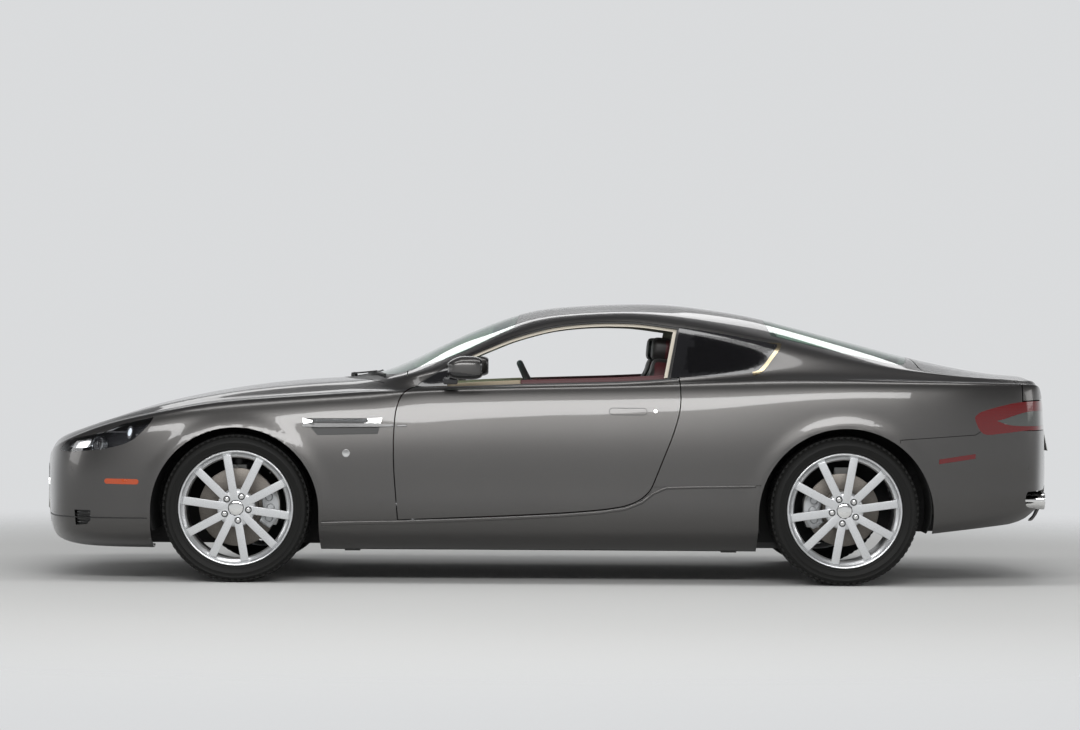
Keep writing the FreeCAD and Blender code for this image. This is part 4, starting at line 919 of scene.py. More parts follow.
def makeTyre(corner, move, radius, width):
    half, rim = width / 2, wheelSet["rim"]
    base = radius - wheelSet["treadDepth"]
    profile = [(rim + 1, -half + 14), (rim + 5, -half + 5), (rim + 12, -half + 1), (rim + 16, -half + 1.6),
               (rim + 19, -half - 1), (rim + 34, -half - 3), (rim + 38, -half - 5.2), (rim + 41, -half - 3.4),
               (rim + 52, -half - 2.6), (rim + 56, -half - 3.8), (rim + 60, -half - 1.6), (radius - 14, -half + 6),
               (radius - 8, -half + 14), (base, -half + 26), (base + 1, 0)]
    whole = profile + [(r, -o) for r, o in profile[-2::-1]] + [(rim - 13, half - 24), (rim - 13, -half + 24)]
    parts = [(spun(whole, wheelSet["steps"]), 0)]
    pitch = math.tau * radius / wheelSet["pitches"]
    for index, (centre, span) in enumerate(wheelSet["ribs"]):
        rib = bar(base - 4, radius, (centre - span / 2) * width, (centre + span / 2) * width,
                  -pitch * 0.42, pitch * 0.42)
        for vertex in rib.verts:
            lean = vertex.co.y / (width * mm)
            vertex.co.z += lean * (14 if index % 2 else -14) * mm
            if abs(lean) > 0.4 and vertex.co.x > (radius - 3) * mm:
                vertex.co.x -= 5 * mm
        parts.append((around(rib, wheelSet["pitches"], index * 1.7), 0))
    # shoulder lugs that show side on
    for way in (-1, 1):
        edge = sorted((way * (half - 21), way * (half - 7)))
        lug = bar(radius - 16, radius - 3.5, *edge, -pitch * 0.3, pitch * 0.3, 1.5, 1)
        parts.append((around(lug, wheelSet["pitches"], 2.4), 0))
    tyre = sharpened(place("tyreLook_" + corner, seated(fused(*parts), move), "rubber"), 40)
    ownPiece(tyre, corner + "_wheel", "tyre", "tyre_" + corner)


def makeRim(corner, move, width, lead):
    half, rim = width / 2, wheelSet["rim"]
    face = -half + 14
    barrel = [(rim + 4, -half + 4), (rim + 4, -half + 10), (rim - 2, -half + 14), (rim - 12, -half + 26),
              (rim - 12, half - 26), (rim - 2, half - 14), (rim + 4, half - 10), (rim + 4, half - 4),
              (rim - 3, half - 3), (rim - 9, half - 12), (rim - 22, half - 22), (rim - 22, face + 52),
              (rim - 30, face + 26), (rim - 24, face + 9), (rim - 11, face - 1), (rim - 7, -half + 6),
              (rim - 4, -half + 1.5), (rim + 1, -half + 0.5)]
    ring = spun(barrel, wheelSet["steps"])
    w = wheelSet["spokeWidth"] / 2
    spoke = bar(34, rim - 15, face, face + 30, -w, w)
    for vertex in spoke.verts:
        outer, deep = vertex.co.x > 0.1, vertex.co.y > (face + 15) * mm
        if deep:
            vertex.co.z *= 0.8
            vertex.co.x += (8 if outer else 0) * mm
        vertex.co.y += (-2.5 if outer and not deep else (10 if not outer and deep else 0)) * mm
    lines = [e for e in spoke.edges if all(v.co.y < (face + 10) * mm for v in e.verts)]
    spokes = around(eased(spoke, 3.2, 3, lines), wheelSet["spokes"], lead)
    hub = spun([(30, face + 2), (68, face + 2), (78, face + 4), (86, face + 11), (88, face + 30), (74, face + 52),
                (30, face + 60)], 80)
    pocket = spun([(10, face - 0.6), (15.5, face - 1), (16.5, face + 3), (10, face + 4)], 28)
    pockets = around(slid(pocket, wheelSet["studs"]), 5, lead)
    nut = bmesh.new()
    bmesh.ops.create_cone(nut, cap_ends=True, segments=6, radius1=9.5 * mm, radius2=9.5 * mm, depth=10 * mm)
    nuts = around(slid(turned(eased(nut, 1.6), math.pi / 2, "X"), wheelSet["studs"], face - 3), 5, lead)
    cap = spun([(0.01, face - 5), (14, face - 4.8), (26, face - 4), (31, face - 2), (33, face + 1), (33, face + 8),
                (0.01, face + 8)], 56, closed=False)
    groove = spun([(33, face + 1.2), (36.5, face + 1.2), (36.5, face + 6), (33, face + 6)], 56)
    valve = spun([(0.01, -13), (2.6, -13), (3.6, -12), (3.6, 8), (0.01, 8)], 14, closed=False)
    angle = math.radians(lead - 126)
    slid(valve, (rim - 36) * math.cos(angle), face + 18, -(rim - 36) * math.sin(angle))
    whole = fused((ring, 0), (spokes, 0), (hub, 0), (pockets, 1), (nuts, 2), (cap, 2), (groove, 1), (valve, 1))
    wheel = place("wheelLook_" + corner, seated(whole, move), "alloy", "satin", "bright")
    sharpened(bevelled(wheel, 0.8, 1), 30)
    ownPiece(wheel, corner + "_wheel", "alloy", "wheel_" + corner)


def makeBrake(corner, move, width, disc, caliper, body):
    back = 150 - width / 2
    face = back - 30
    rotor = spun([(96, face), (disc - 2, face), (disc, face + 1), (disc, face + 11), (disc - 3, face + 12),
                  (disc - 3, face + 18), (disc, face + 19), (disc, face + 29), (disc - 2, face + 30), (96, face + 30),
                  (96, back + 2), (90, back + 2), (90, face - 28), (40, face - 28), (40, face - 34), (88, face - 34),
                  (94, face - 30), (95, face - 2)], 96)
    vanes = around(bar(100, disc - 6, face + 10, face + 20, -2, 2), 40)
    piece = sharpened(place("discLook_" + corner, seated(fused((rotor, 0), (vanes, 0)), move), "iron"), 30)
    ownPiece(piece, corner + "_wheel", "disc_iron", "disc_" + corner)
    # caliper: a curved body over the disc, with the bulges of three pistons
    bm = bar(disc - 62, disc + 17, face - 34, face + 66, -92, 92)
    bmesh.ops.subdivide_edges(bm, edges=[e for e in bm.edges if abs(e.verts[0].co.z - e.verts[1].co.z) > 0.1],
                              cuts=7, use_grid_fill=True)
    for vertex in bm.verts:
        share = vertex.co.z / (92 * mm)
        r, angle = vertex.co.x, share * math.radians(33)
        if vertex.co.y < (face - 20) * mm or vertex.co.y > (face + 50) * mm:
            r -= (0 if vertex.co.x < (disc - 30) * mm else 8 * mm * (0.5 + abs(share)))
        r -= (abs(share) ** 3) * 8 * mm if vertex.co.x > (disc - 20) * mm else 0
        vertex.co.x, vertex.co.z = r * math.cos(angle), r * math.sin(angle)
    bmesh.ops.bevel(bm, geom=bm.edges[:], offset=5 * mm, segments=2, affect="EDGES", profile=0.5, material=-1,
                    clamp_overlap=True)
    parts = [(bm, 0)]
    for share in (-0.55, 0.0, 0.55):
        boss = spun([(0.01, face - 40), (14, face - 40), (18, face - 37), (19, face - 30), (0.01, face - 30)], 24,
                    False)
        angle = share * math.radians(33)
        parts.append((slid(boss, (disc - 26) * math.cos(angle), 0, (disc - 26) * math.sin(angle)), 0))
    whole = seated(seated(fused(*parts), Matrix.Diagonal((caliper, 1, 1, 1))), move)
    ownPiece(sharpened(place("caliper_" + corner, whole, "caliper"), 30), body, "steel")


def makeCorners():
    for corner, x, y, radius, width, disc, caliper, lead in wheelSet["corners"]:
        move = Matrix.Translation((x * mm, y * mm, radius * mm)) @ Matrix.Diagonal((1, -1 if y > 0 else 1, 1, 1))
        body = {"front_left": "left_knuckle", "front_right": "right_knuckle"}.get(corner, "body")
        makeTyre(corner, move, radius, width)
        makeRim(corner, move, width, lead)
        makeBrake(corner, move, width, disc, caliper, body)


makeCorners()
print("wheels made")


nodeFinish = {"disc": "iron", "knuckle": "cast", "rear_knuckles": "cast", "arch_liners": "felt",
              "front_subframe": "steel", "rear_subframe": "steel", "engine_block": "cast", "radiator": "steel",
              "propshaft": "steel", "exhaust": "steel", "bumper_beams": "steel", "tow_sockets": "steel",
              "jacking_pads": "satin", "floor_pan": "pan", "firewall": "felt", "centre_console": "dark",
              "dashboard": "dark", "front_seats": "wine", "rear_seats": "stone", "steering_wheel": "dark",
              "grille": "satin", "side_vents": "satin", "wipers": "satin"}
for name, node in frame["nodes"].items():
    key = next((key for key in nodeFinish if name.startswith(key)), None)
    if key:
        node.data.materials.clear()
        dressed(node, nodeFinish[key])

# a slot name listed for each look of a thin piece
slotOf = {"satin": "black_plastic", "gloss": "black_plastic", "paint": "paint", "bright": "chrome",
          "champagne": "chrome", "darkBright": "chrome", "amberLens": "lamp_front", "clearSolid": "lamp_front",
          "redLens": "lamp_rear"}


def patch(name, outline, look, lift=1.0, wall=2.0, drop=(), keep=(), edge=0.0, body="body", slot=None):
    # a thin piece that lies on the skin inside a side outline, on both sides of the car
    xs = [x for x, z in outline]
    piece = panel(name + "Left", (min(xs) - 60, max(xs) + 60), wall, [sideTool(outline), *keep], drop, lift=lift,
                  side=-1, look=look)
    if edge:
        bevelled(piece, edge, 2)
    return paired(piece, body, slot or slotOf[look])


def stood(bm, spot, way):
    # turns a mesh made along -Y so that it stands on the skin and faces out
    turn = Vector((0, -1, 0)).rotation_difference(way).to_matrix().to_4x4()
    bm.transform(Matrix.Translation(spot) @ turn)
    return bm


def onSkin(x, z, lift=0.0):
    spot = Vector((x * mm, skinAt(x * mm, z * mm), z * mm))
    way = skinNormal(spot)[0]
    return spot + way * lift * mm, way


def besideSkin(points, lift):
    # places on the left skin over side points, moved out by the lift
    line, ups = [], []
    for x, z in points:
        spot, way = onSkin(x, z, lift)
        line.append(tuple(spot / mm))
        ups.append(way)
    return line, ups


def capsule(x0, x1, z0, z1, lean=0.0, steps=10):
    # slot outline with round ends
    r = (z1 - z0) / 2
    ring = []
    for i in range(steps + 1):
        a = math.pi / 2 + math.pi * i / steps
        ring.append((x0 + r + r * math.cos(a), (z0 + z1) / 2 + r * math.sin(a)))
    for i in range(steps + 1):
        a = -math.pi / 2 + math.pi * i / steps
        ring.append((x1 - r + r * math.cos(a), (z0 + z1) / 2 + r * math.sin(a) + lean))
    return ring


windowSet = {
    "pillar": [(606, 1163), (652, 1157), (596, 936), (561, 926)],
    "seal": 9, "frame": 11, "drip": (15, 19), "tail": 17,
}


def makeWindowTrim():
    low, high = windowSet["drip"]
    patch("windowSeal", doorWindow, "satin", -1.5, 9, [sideTool(doorWindow, -windowSet["seal"])],
          [block(-640, 1140, -wide, -200, 905, 1300)])
    patch("dripLine", grown(doorWindow, high), "satin", 0.4, 2,
          [sideTool(doorWindow, low), block(606, 900, -wide, -200, 800, 1300)],
          [block(-520, 1140, -wide, -200, 950, 1300)])
    patch("dripLineRear", grown(quarterWindow, high), "satin", 0.4, 2, [sideTool(quarterWindow, low)],
          [block(606, 1140, -wide, -200, 1075, 1300)])
    patch("quarterFrame", grown(quarterWindow, 2), "gloss", 0.8, 5, [sideTool(quarterWindow, -windowSet["frame"])])
    patch("quarterTrim", grown(quarterWindow, windowSet["tail"]), "champagne", 1.6, 3, [sideTool(quarterWindow, 0.5)],
          [block(935, 1130, -wide, -200, 900, 1094)])
    patch("pillarCover", windowSet["pillar"], "gloss", 1.2, 3)
    waist = [(x, z + 1) for x, z in [(-600, 880)] + doorBelt + [(594, 929)]]
    waist += [(x, z - 6) for x, z in waist[::-1]]
    patch("waistSeal", waist, "satin", 0.8, 4, body="left_door")
    clearTools()


ventSet = {
    "strake": [(-1104, 704), (-1096, 716), (-1060, 719), (-800, 719), (-690, 716), (-690, 706), (-800, 704),
               (-1030, 701)],
    "strakeDoor": [(-676, 715), (-630, 715), (-629, 706), (-676, 706)],
    "finField": (-1050, -812, 722, 738), "fins": 30, "meshField": (-1035, -800, 672, 700), "columns": 44, "rows": 4,
    "brightUpper": [(-812, 741), (-742, 744), (-748, 719), (-826, 719), (-800, 730)],
    "brightFront": [(-1101, 742), (-1052, 731), (-1056, 722), (-1096, 717)],
}


def spread(low, high, count):
    # the middles of equal shares of a span
    return [low + (high - low) * (i + 0.5) / count for i in range(count)]


def makeVents():
    patch("ventBack", grown(vent, 4), "satin", -14, 3)
    patch("ventRim", grown(vent, 0.5), "satin", -0.5, 12, [sideTool(vent, -4)])
    patch("ventBrightUpper", ventSet["brightUpper"], "bright", 0.8, 5, edge=0.8)
    patch("ventBrightFront", ventSet["brightFront"], "bright", 0.8, 5, edge=0.8)
    patch("strake", ventSet["strake"], "darkBright", 5, 9, edge=1.5)
    patch("strakeTip", ventSet["strakeDoor"], "darkBright", 4, 5, edge=1.2, body="left_door")
    x0, x1, z0, z1 = ventSet["finField"]
    parts = []
    for x in spread(x0, x1, ventSet["fins"]):
        y = skinAt(x * mm, 0.73) / mm
        parts.append((bar(x - 1.1, x + 1.1, y + 2, y + 15, z0 - 1, z1, 0.4, 1), 0))
    paired(place("ventFinsLeft", fused(*parts), "castGrey"), "body", "black_plastic")
    x0, x1, z0, z1 = ventSet["meshField"]
    parts = []
    for x in spread(x0, x1, ventSet["columns"]):
        y = skinAt(x * mm, 0.686) / mm
        parts.append((bar(x - 0.8, x + 0.8, y + 8, y + 11, z0 - 4, z1 + 2), 0))
    for z in spread(z0, z1, ventSet["rows"]):
        y0, y1 = skinAt(x0 * mm, z * mm) / mm, skinAt(x1 * mm, z * mm) / mm
        rod = bar(x0 - 8, x1 + 8, 0, 3, z - 0.9, z + 0.9)
        for vertex in rod.verts:
            vertex.co.y += ((y0 if vertex.co.x < -0.9 else y1) + 8) * mm
        parts.append((rod, 0))
    paired(place("ventNetLeft", fused(*parts), "satin"), "body", "black_plastic")
    clearTools()


smallSet = {"handle": (283, 450, 765, 793), "lock": (490, 781, 9), "emblem": (-902, 585, 18),
            "sensors": [(2188, 533), (-2151, 503)], "sensor": 9}


def makeSmallFittings():
    slot = capsule(*smallSet["handle"])
    patch("handleGap", grown(slot, 2.6), "satin", 0.5, 2, [sideTool(slot)], body="left_door")
    patch("handle", slot, "paint", 2.2, 4, edge=1.4, body="left_door")
    clearTools()
    x, z, r = smallSet["lock"]
    face = spun([(0.01, -1.6), (r - 4, -1.6), (r - 3.4, -0.6), (r - 1.6, -0.6), (r - 1, -2), (r, -1.6), (r, 2),
                 (0.01, 2)], 32, False)
    lock = fused((face, 0), (bar(-0.8, 0.8, -2.0, -1.0, -3, 3), 1))
    paired(sharpened(place("doorLockLeft", stood(lock, *onSkin(x, z)), "bright", "satin")), "left_door", "chrome")
    x, z, r = smallSet["emblem"]
    disc = spun([(0.01, -2.6), (r * 0.6, -2.4), (r - 3, -2.0), (r - 2.4, -3.0), (r - 0.8, -3.0), (r, -2.0), (r, 2),
                 (0.01, 2)], 40, False)
    paired(sharpened(place("wingDiscLeft", stood(disc, *onSkin(x, z)), "bright")), "body", "chrome")
    r = smallSet["sensor"]
    parts = []
    for x, z in smallSet["sensors"]:
        dot = spun([(0.01, -1.2), (r - 1, -1.2), (r, -0.4), (r, 2), (0.01, 2)], 24, False)
        parts.append((stood(dot, *onSkin(x, z)), 0))
    paired(sharpened(place("sensorLeft", fused(*parts), "paint")), "body", "paint")


lampSet = {
    "reflector": [(-2176, 606), (-2150, 598), (-2100, 598), (-2060, 604), (-2060, 652), (-2083, 649), (-2166, 627)],
    "line": [(-2064, 670.5), (-1894, 671.5), (-1894, 675.5), (-2064, 674.5)],
    # x, z, radius, depth of the round unit; x, z, half width and height of the small one
    "unit": (-2036, 619, 38, 17), "eye": (-1879, 673, 12.5, 29),
}


def makeLamps():
    patch("frontMarker", capsule(-1991, -1834, 441, 465, -2), "amberLens", 2.5, 5, edge=1.5)
    patch("rearMarker", rounded(rearMarker, 4, (0, 1, 2, 3)), "redLens", 2.0, 4, edge=1.2)
    # dark bowl, bright strips and round units behind the headlamp glass
    patch("lampBowl", grown(headlamp, -1), "gloss", -46, 3)
    patch("lampReflector", lampSet["reflector"], "bright", -20, 3, edge=0.8)
    patch("lampLine", lampSet["line"], "bright", -7, 5, edge=0.8)
    x, z, a, b = lampSet["eye"]
    for name, look, share, lift in (("lampEyeRim", "bright", 1, -8), ("lampEye", "clearSolid", 0.62, -6)):
        ring = [(x + a * share * math.cos(math.tau * i / 32) + 3 * math.sin(math.tau * i / 32),
                 z + b * share * math.sin(math.tau * i / 32)) for i in range(32)]
        patch(name, ring, look, lift, 6, edge=1.5, slot="lamp_front")
    x, z, r, depth = lampSet["unit"]
    spot, way = onSkin(x, z, -depth)
    way = (way * 0.7 + Vector((-0.5, 0, 0))).normalized()
    rim = spun([(r + 1, -3), (r + 4, -1), (r + 4, 30), (r - 2, 30), (r - 1, -1)], 48)
    dome = spun([(0.01, -9), (r * 0.4, -8), (r * 0.75, -4.5), (r * 0.95, 1), (r, 8), (r, 26), (0.01, 26)], 48, False)
    unit = place("lampUnitLeft", stood(fused((rim, 0), (dome, 1)), spot, way), "castGrey", "gloss")
    paired(sharpened(unit, 50), "body", "lamp_front")
    clearTools()


# y, low, high, start and end of the skirts beside the wheels; points of the ledge under the door
wellSet = [(-484, 156, 250, -1850, -1485), (-484, 156, 250, -1311, -950), (-608, 178, 310, 925, 1278),
           (-608, 234, 310, 1406, 1815)]
sillLedge = [(-1012, 268), (-900, 272), (-667, 277), (-437, 286), (-212, 296), (58, 310), (238, 325), (355, 342),
             (430, 372), (480, 412), (540, 437), (700, 442), (940, 446)]


def makeArchLips():
    for name, key, low in (("archLipFront", "frontArch", 190), ("archLipRear", "rearArch", 235)):
        x, z, r = skinSet[key]
        patch(name, archLine(x, z, r + 12), "paint", 3.5, 6, [prism(archLine(x, z, r - 1, -60), -wide - 10, -190)],
              [block(x - 600, x + 600, -wide, -200, low, 1000)], 2)
    parts = [(bar(x0, x1, y, y + 4, low, high, 1), 0) for y, low, high, x0, x1 in wellSet]
    paired(place("wellSkirtLeft", fused(*parts), "felt"), "body", "black_plastic")
    line, ups = besideSkin(sillLedge, 1.5)
    ledge = place("sillLedgeLeft", swept(line, 20, 11, ups, 0.5), "paint")
    paired(bevelled(ledge, 4, 3, 20), "body", "paint")
    clearTools()


def makeTailpipes():
    r = pipeSet["radius"]
    parts = []
    for y, z in pipeSet["tips"]:
        tip = spun([(r - 4, 0), (r, 6), (r, 118), (r + 1.5, 124), (r + 1, 131), (r - 1.5, 134), (r - 4, 131),
                    (r - 5, 122), (r - 6, 60), (r - 9, 20), (r - 9, 2)], 48)
        parts.append((slid(turned(tip, -math.pi / 2, "Z"), pipeSet["front"], y, z), 0))
    parts += [(bar(2112, 2118, -700, -446, 312, 432, 2), 1), (bar(2112, 2270, -450, -446, 352, 428, 1), 1),
              (bar(2112, 2262, -640, -446, 426, 430, 1), 1)]
    paired(sharpened(place("tailpipesLeft", fused(*parts), "bright", "satin"), 30), "body", "chrome")


seatSet = {
    # front seats: middle line, cushion, back and headrest as (centre x, z, half length, half width, half height)
    "y": 372, "cushion": (232, 430, 262, 222, 46), "back": (518, 735, 62, 226, 282), "lean": 6.5,
    "rest": (541, 1056, 46, 122, 52), "cuts": 30, "flutes": 7, "seam": 3.5,
    # rear bench: middle line of each bucket
    "rearY": 282, "rearCushion": (1010, 478, 165, 262, 58), "rearBack": (1243, 690, 62, 262, 205), "rearLean": 14,
}


def softBlock(half, square=6.0, cuts=None):
    # a rounded pad about the origin, even all over
    bm = bmesh.new()
    bmesh.ops.create_cube(bm, size=2)
    bmesh.ops.subdivide_edges(bm, edges=bm.edges[:], cuts=cuts or seatSet["cuts"], use_grid_fill=True)
    for vertex in bm.verts:
        u = vertex.co.copy()
        length = sum(abs(n) ** square for n in u) ** (1 / square)
        vertex.co = Vector(n / length for n in u)
    size = Vector(half)
    return bm, size


def rise(value, low, high):
    t = min(max((value - low) / (high - low), 0), 1)
    return t * t * (3 - 2 * t)


def groove(value, places, width):
    return sum(math.exp(-((value - place) / width) ** 2) for place in places)


def pad(name, half, shape, spot, lean=0.0, square=6.0, rules=(), looks=(), cuts=None):
    # shape moves each point: it gets the place from -1 to 1 and the place in millimetres
    bm, size = softBlock(half, square, cuts)
    for vertex in bm.verts:
        u = vertex.co.copy()
        vertex.co = Vector(shape(u, Vector((u.x * size.x, u.y * size.y, u.z * size.z)))) * mm
    bm.normal_update()
    for face in bm.faces:
        for number, rule in rules:
            if rule(face.calc_center_median() / mm, face.normal):
                face.material_index = number
                break
    bm.transform(Matrix.Translation(Vector(spot) * mm) @ Matrix.Rotation(math.radians(lean), 4, "Y"))
    piece = place(name, bm, *looks)
    return piece


def cushionShape(u, p):
    inner = 1 - rise(abs(u.y), 0.58, 0.7)
    top = rise(u.z, 0.1, 0.7)
    flutes = [-0.8 + 1.5 * i / seatSet["flutes"] for i in range(seatSet["flutes"] + 1)]
    p.z += top * (34 * rise(abs(u.y), 0.56, 0.86) * (1 - 0.6 * rise(u.x, 0.2, 1))
                  + 7 * (1 - u.y * u.y) * (1 - u.x * u.x))
    p.z -= top * seatSet["seam"] * inner * groove(u.x, flutes, 0.03)
    p.z -= top * 5 * groove(abs(u.y), [0.62], 0.03)
    p.z += 10 * rise(-u.x, 0.2, 1) * top - 16 * rise(-u.x, 0.86, 1)
    p.y *= 1 - 0.06 * rise(u.x, 0.2, 1) - 0.03 * (1 - u.z) * 0.5
    return p


def backShape(u, p):
    inner = 1 - rise(abs(u.y), 0.58, 0.7)
    front = rise(-u.x, 0.1, 0.7)
    flutes = [-0.62 + 1.3 * i / seatSet["flutes"] for i in range(seatSet["flutes"] + 1)]
    p.x -= front * (34 * rise(abs(u.y), 0.58, 0.9) * (1 - rise(u.z, 0.45, 0.95)) + 6 * (1 - u.y * u.y))
    p.x += front * seatSet["seam"] * inner * groove(u.z, flutes, 0.028)
    p.x += front * 5 * groove(abs(u.y), [0.62], 0.03)
    p.x -= front * 26 * rise(-u.z, 0.3, 1)
    p.y *= 1 - 0.16 * rise(u.z, 0.1, 1) - 0.05 * rise(-u.z, 0.5, 1)
    p.z -= 10 * rise(abs(u.y), 0.5, 1) * rise(u.z, 0.5, 1)
    return p


def restShape(u, p):
    p.x -= 10 * (1 - u.y * u.y) * rise(-u.x, 0, 0.7) + 12 * rise(-u.x, 0, 0.6) * rise(abs(u.y), 0.55, 0.95)
    p.x += 3 * groove(abs(u.y), [0.6], 0.04) * rise(-u.x, 0.1, 0.7)
    p.y *= 1 - 0.1 * rise(-u.z, 0, 1)
    p.z += 6 * (1 - u.y * u.y) * rise(u.z, 0.2, 0.8)
    return p


def benchShape(u, p):
    top = rise(u.z, 0.1, 0.7)
    p.z += top * (26 * rise(abs(u.y), 0.55, 0.95) - 8 * (1 - u.y * u.y) + 8 * rise(-u.x, 0, 1))
    p.z -= top * 5 * (groove(abs(u.y), [0.6], 0.03)
                      + groove(u.x, [-0.45, 0, 0.45], 0.035) * (1 - rise(abs(u.y), 0.52, 0.62)))
    return p


def benchBackShape(u, p):
    front = rise(-u.x, 0.1, 0.7)
    p.x -= front * (24 * rise(abs(u.y), 0.55, 0.95) - 6 * (1 - u.y * u.y))
    p.x += front * 5 * (groove(abs(u.y), [0.6], 0.03)
                        + groove(u.z, [-0.5, -0.1, 0.3], 0.03) * (1 - rise(abs(u.y), 0.52, 0.62)))
    p.y *= 1 - 0.06 * rise(u.z, 0, 1)
    return p


def makeSeats():
    y = seatSet["y"]
    x, z, a, b, c = seatSet["cushion"]
    cushion = pad("seatCushionLeft", (a, b, c), cushionShape, (x, -y, z), -3, 7,
                  [(1, lambda c, n: abs(c.y) > 148 and n.z > -0.4), (2, lambda c, n: n.z < -0.5)],
                  ("dark", "wine", "satin"))
    x, z, a, b, c = seatSet["back"]
    back = pad("seatBackLeft", (a, b, c), backShape, (x, -y, z), seatSet["lean"], 6,
               [(2, lambda c, n: n.x > 0.45), (1, lambda c, n: abs(c.y) > 148 and c.x > -50)],
               ("dark", "wine", "stone"))
    x, z, a, b, c = seatSet["rest"]
    rest = pad("headrestLeft", (a, b, c), restShape, (x, -y, z), 5, 4,
               [(1, lambda c, n: 6 < c.x < 24), (2, lambda c, n: c.x >= 24)], ("dark", "wine", "stone"), cuts=20)
    for piece, *nodes in ((cushion, "front_seats"), (back,), (rest,)):
        paired(piece, "body", "trim_dark", *nodes)[1]
    parts = [(bar(20, 520, -y - 205, -y + 205, 300, 392, 14), 0), (bar(40, 500, -y - 190, -y - 150, 195, 305, 5), 0),
             (bar(40, 500, -y + 150, -y + 190, 195, 305, 5), 0), (bar(60, 440, -y - 214, -y - 205, 318, 372, 4), 0)]
    for across in (-60, 60):
        post = spun([(0.01, -40), (7, -40), (7, 40), (0.01, 40)], 20, False)
        parts.append((slid(turned(post, math.pi / 2, "X"), 542, -y + across, 1010), 1))
    paired(sharpened(place("seatBaseLeft", fused(*parts), "satin", "bright")), "body", "black_plastic")

    y = seatSet["rearY"]
    for name, key, shape, lean, *nodes in (("benchCushionLeft", "rearCushion", benchShape, -2, "rear_seats"),
                                           ("benchBackLeft", "rearBack", benchBackShape, seatSet["rearLean"])):
        x, z, a, b, c = seatSet[key]
        piece = pad(name, (a, b, c), shape, (x, -y, z), lean, 6, [(1, lambda c, n: abs(c.y) > 215)],
                    ("stone", "dark"))
        paired(piece, "body", "trim_light", *nodes)[1]
    parts = [(bar(860, 1335, -556, 556, 424, 440, 4), 0), (bar(900, 1160, -17, 17, 440, 505, 7), 1),
             (bar(1290, 1336, -556, 556, 440, 880, 6), 0)]
    ownPiece(place("benchBase", fused(*parts), "dark", "stone"), "body", "trim_dark")


dashSet = {
    "profile": [(-800, 560), (-800, 850), (-640, 880), (-480, 886), (-440, 850), (-430, 760), (-480, 560)],
    "half": 606, "hood": (-350, 190), "vents": [-560, -110, 110, 560], "ventRadius": 36, "band": (620, 790),
    "hoodProfile": [(-640, 872), (-600, 918), (-500, 930), (-438, 918), (-430, 900), (-470, 880), (-520, 860)],
    # low, high and look of the screen and panels in the middle; place and radius of the dials
    "screens": [(700, 770, 1), (640, 690, 1), (585, 628, 2)], "dials": [(-92, 48), (92, 48), (0, 30)],
    "wheel": (-50, -350, 829), "tilt": 25, "rim": 180, "grip": 14.5,
}


def makeDashboard():
    half = dashSet["half"]
    top = dressed(named(prism(rounded(dashSet["profile"], 5, (0, 6)), -half, half), "dashPad"), "dark", "wine")
    bevelled(top, 10, 3, 60)
    low, high = dashSet["band"]
    for polygon in top.data.polygons:
        polygon.material_index = int(low < polygon.center.z / mm < high)
    ownPiece(sharpened(top, 40), "body", "trim_dark", "dashboard")
    y, half = dashSet["hood"]
    cover = named(prism(rounded(dashSet["hoodProfile"], 4), y - half, y + half), "instrumentHood")
    ownPiece(sharpened(bevelled(dressed(cover, "dark"), 14, 3, 60), 40), "body", "trim_dark")
    parts = []
    r = dashSet["ventRadius"]
    for y1 in dashSet["vents"]:
        ring = spun([(r - 7, -3), (r - 4, -8), (r, -8), (r + 3, -3), (r + 3, 14), (r - 7, 14)], 32)
        parts.append((stood(ring, Vector((-0.437, y1 * mm, 0.812)), Vector((1, 0, 0.1)).normalized()), 0))
        for z in range(790, 835, 11):
            parts.append((bar(-436.5, -434, y1 - r + 5, y1 + r - 5, z - 1.2, z + 1.2), 1))
    for low, high, key in dashSet["screens"]:
        lean = -452 + (low + high - 1400) * 0.08
        parts.append((bar(lean - 22, lean + 20, -118, 118, low, high, 4), key))
    for k in range(5):
        knob = spun([(0.01, -14), (12, -14), (13.5, -10), (13.5, 2), (0.01, 2)], 24, False)
        parts.append((stood(knob, Vector((-0.438, (-84 + 42 * k) * mm, 0.664)), Vector((1, 0, 0))), 0))
    for side in (-1, 1):
        parts.append((bar(-440, -432, side * 350 - 230, side * 350 + 230, 742, 747, 1.5), 0))
    ownPiece(sharpened(place("dashFittings", fused(*parts), "bright", "gloss", "satin")), "body", "chrome")
    parts = []
    for across, r in dashSet["dials"]:
        dial = spun([(0.01, -1), (r - 5, -1), (r - 3, -5), (r, -5), (r + 2, 2), (0.01, 2)], 40, False)
        parts.append((stood(dial, Vector((-0.455, (y + across) * mm, 0.872)), Vector((1, 0, 0.25)).normalized()), 0))
    ownPiece(sharpened(place("dials", fused(*parts), "gloss")), "body", "black_plastic")
    shroud = spun([(0.01, 70), (38, 72), (46, 90), (50, 200), (58, 420), (0.01, 420)], 32, False)
    for vertex in shroud.verts:
        vertex.co.x *= 1.15
    ownPiece(sharpened(place("columnShroud", steered(shroud), "satin")), "body", "black_plastic")


def steered(bm):
    # from the wheel's own frame: out towards the driver is -Y, up is Z
    a = math.radians(dashSet["tilt"])
    out = Vector((math.cos(a), 0, math.sin(a)))
    up = Vector((-math.sin(a), 0, math.cos(a)))
    turn = Matrix((Vector((0, 1, 0)), -out, up)).transposed().to_4x4()
    bm.transform(Matrix.Translation(Vector(dashSet["wheel"]) * mm) @ turn)
    return bm


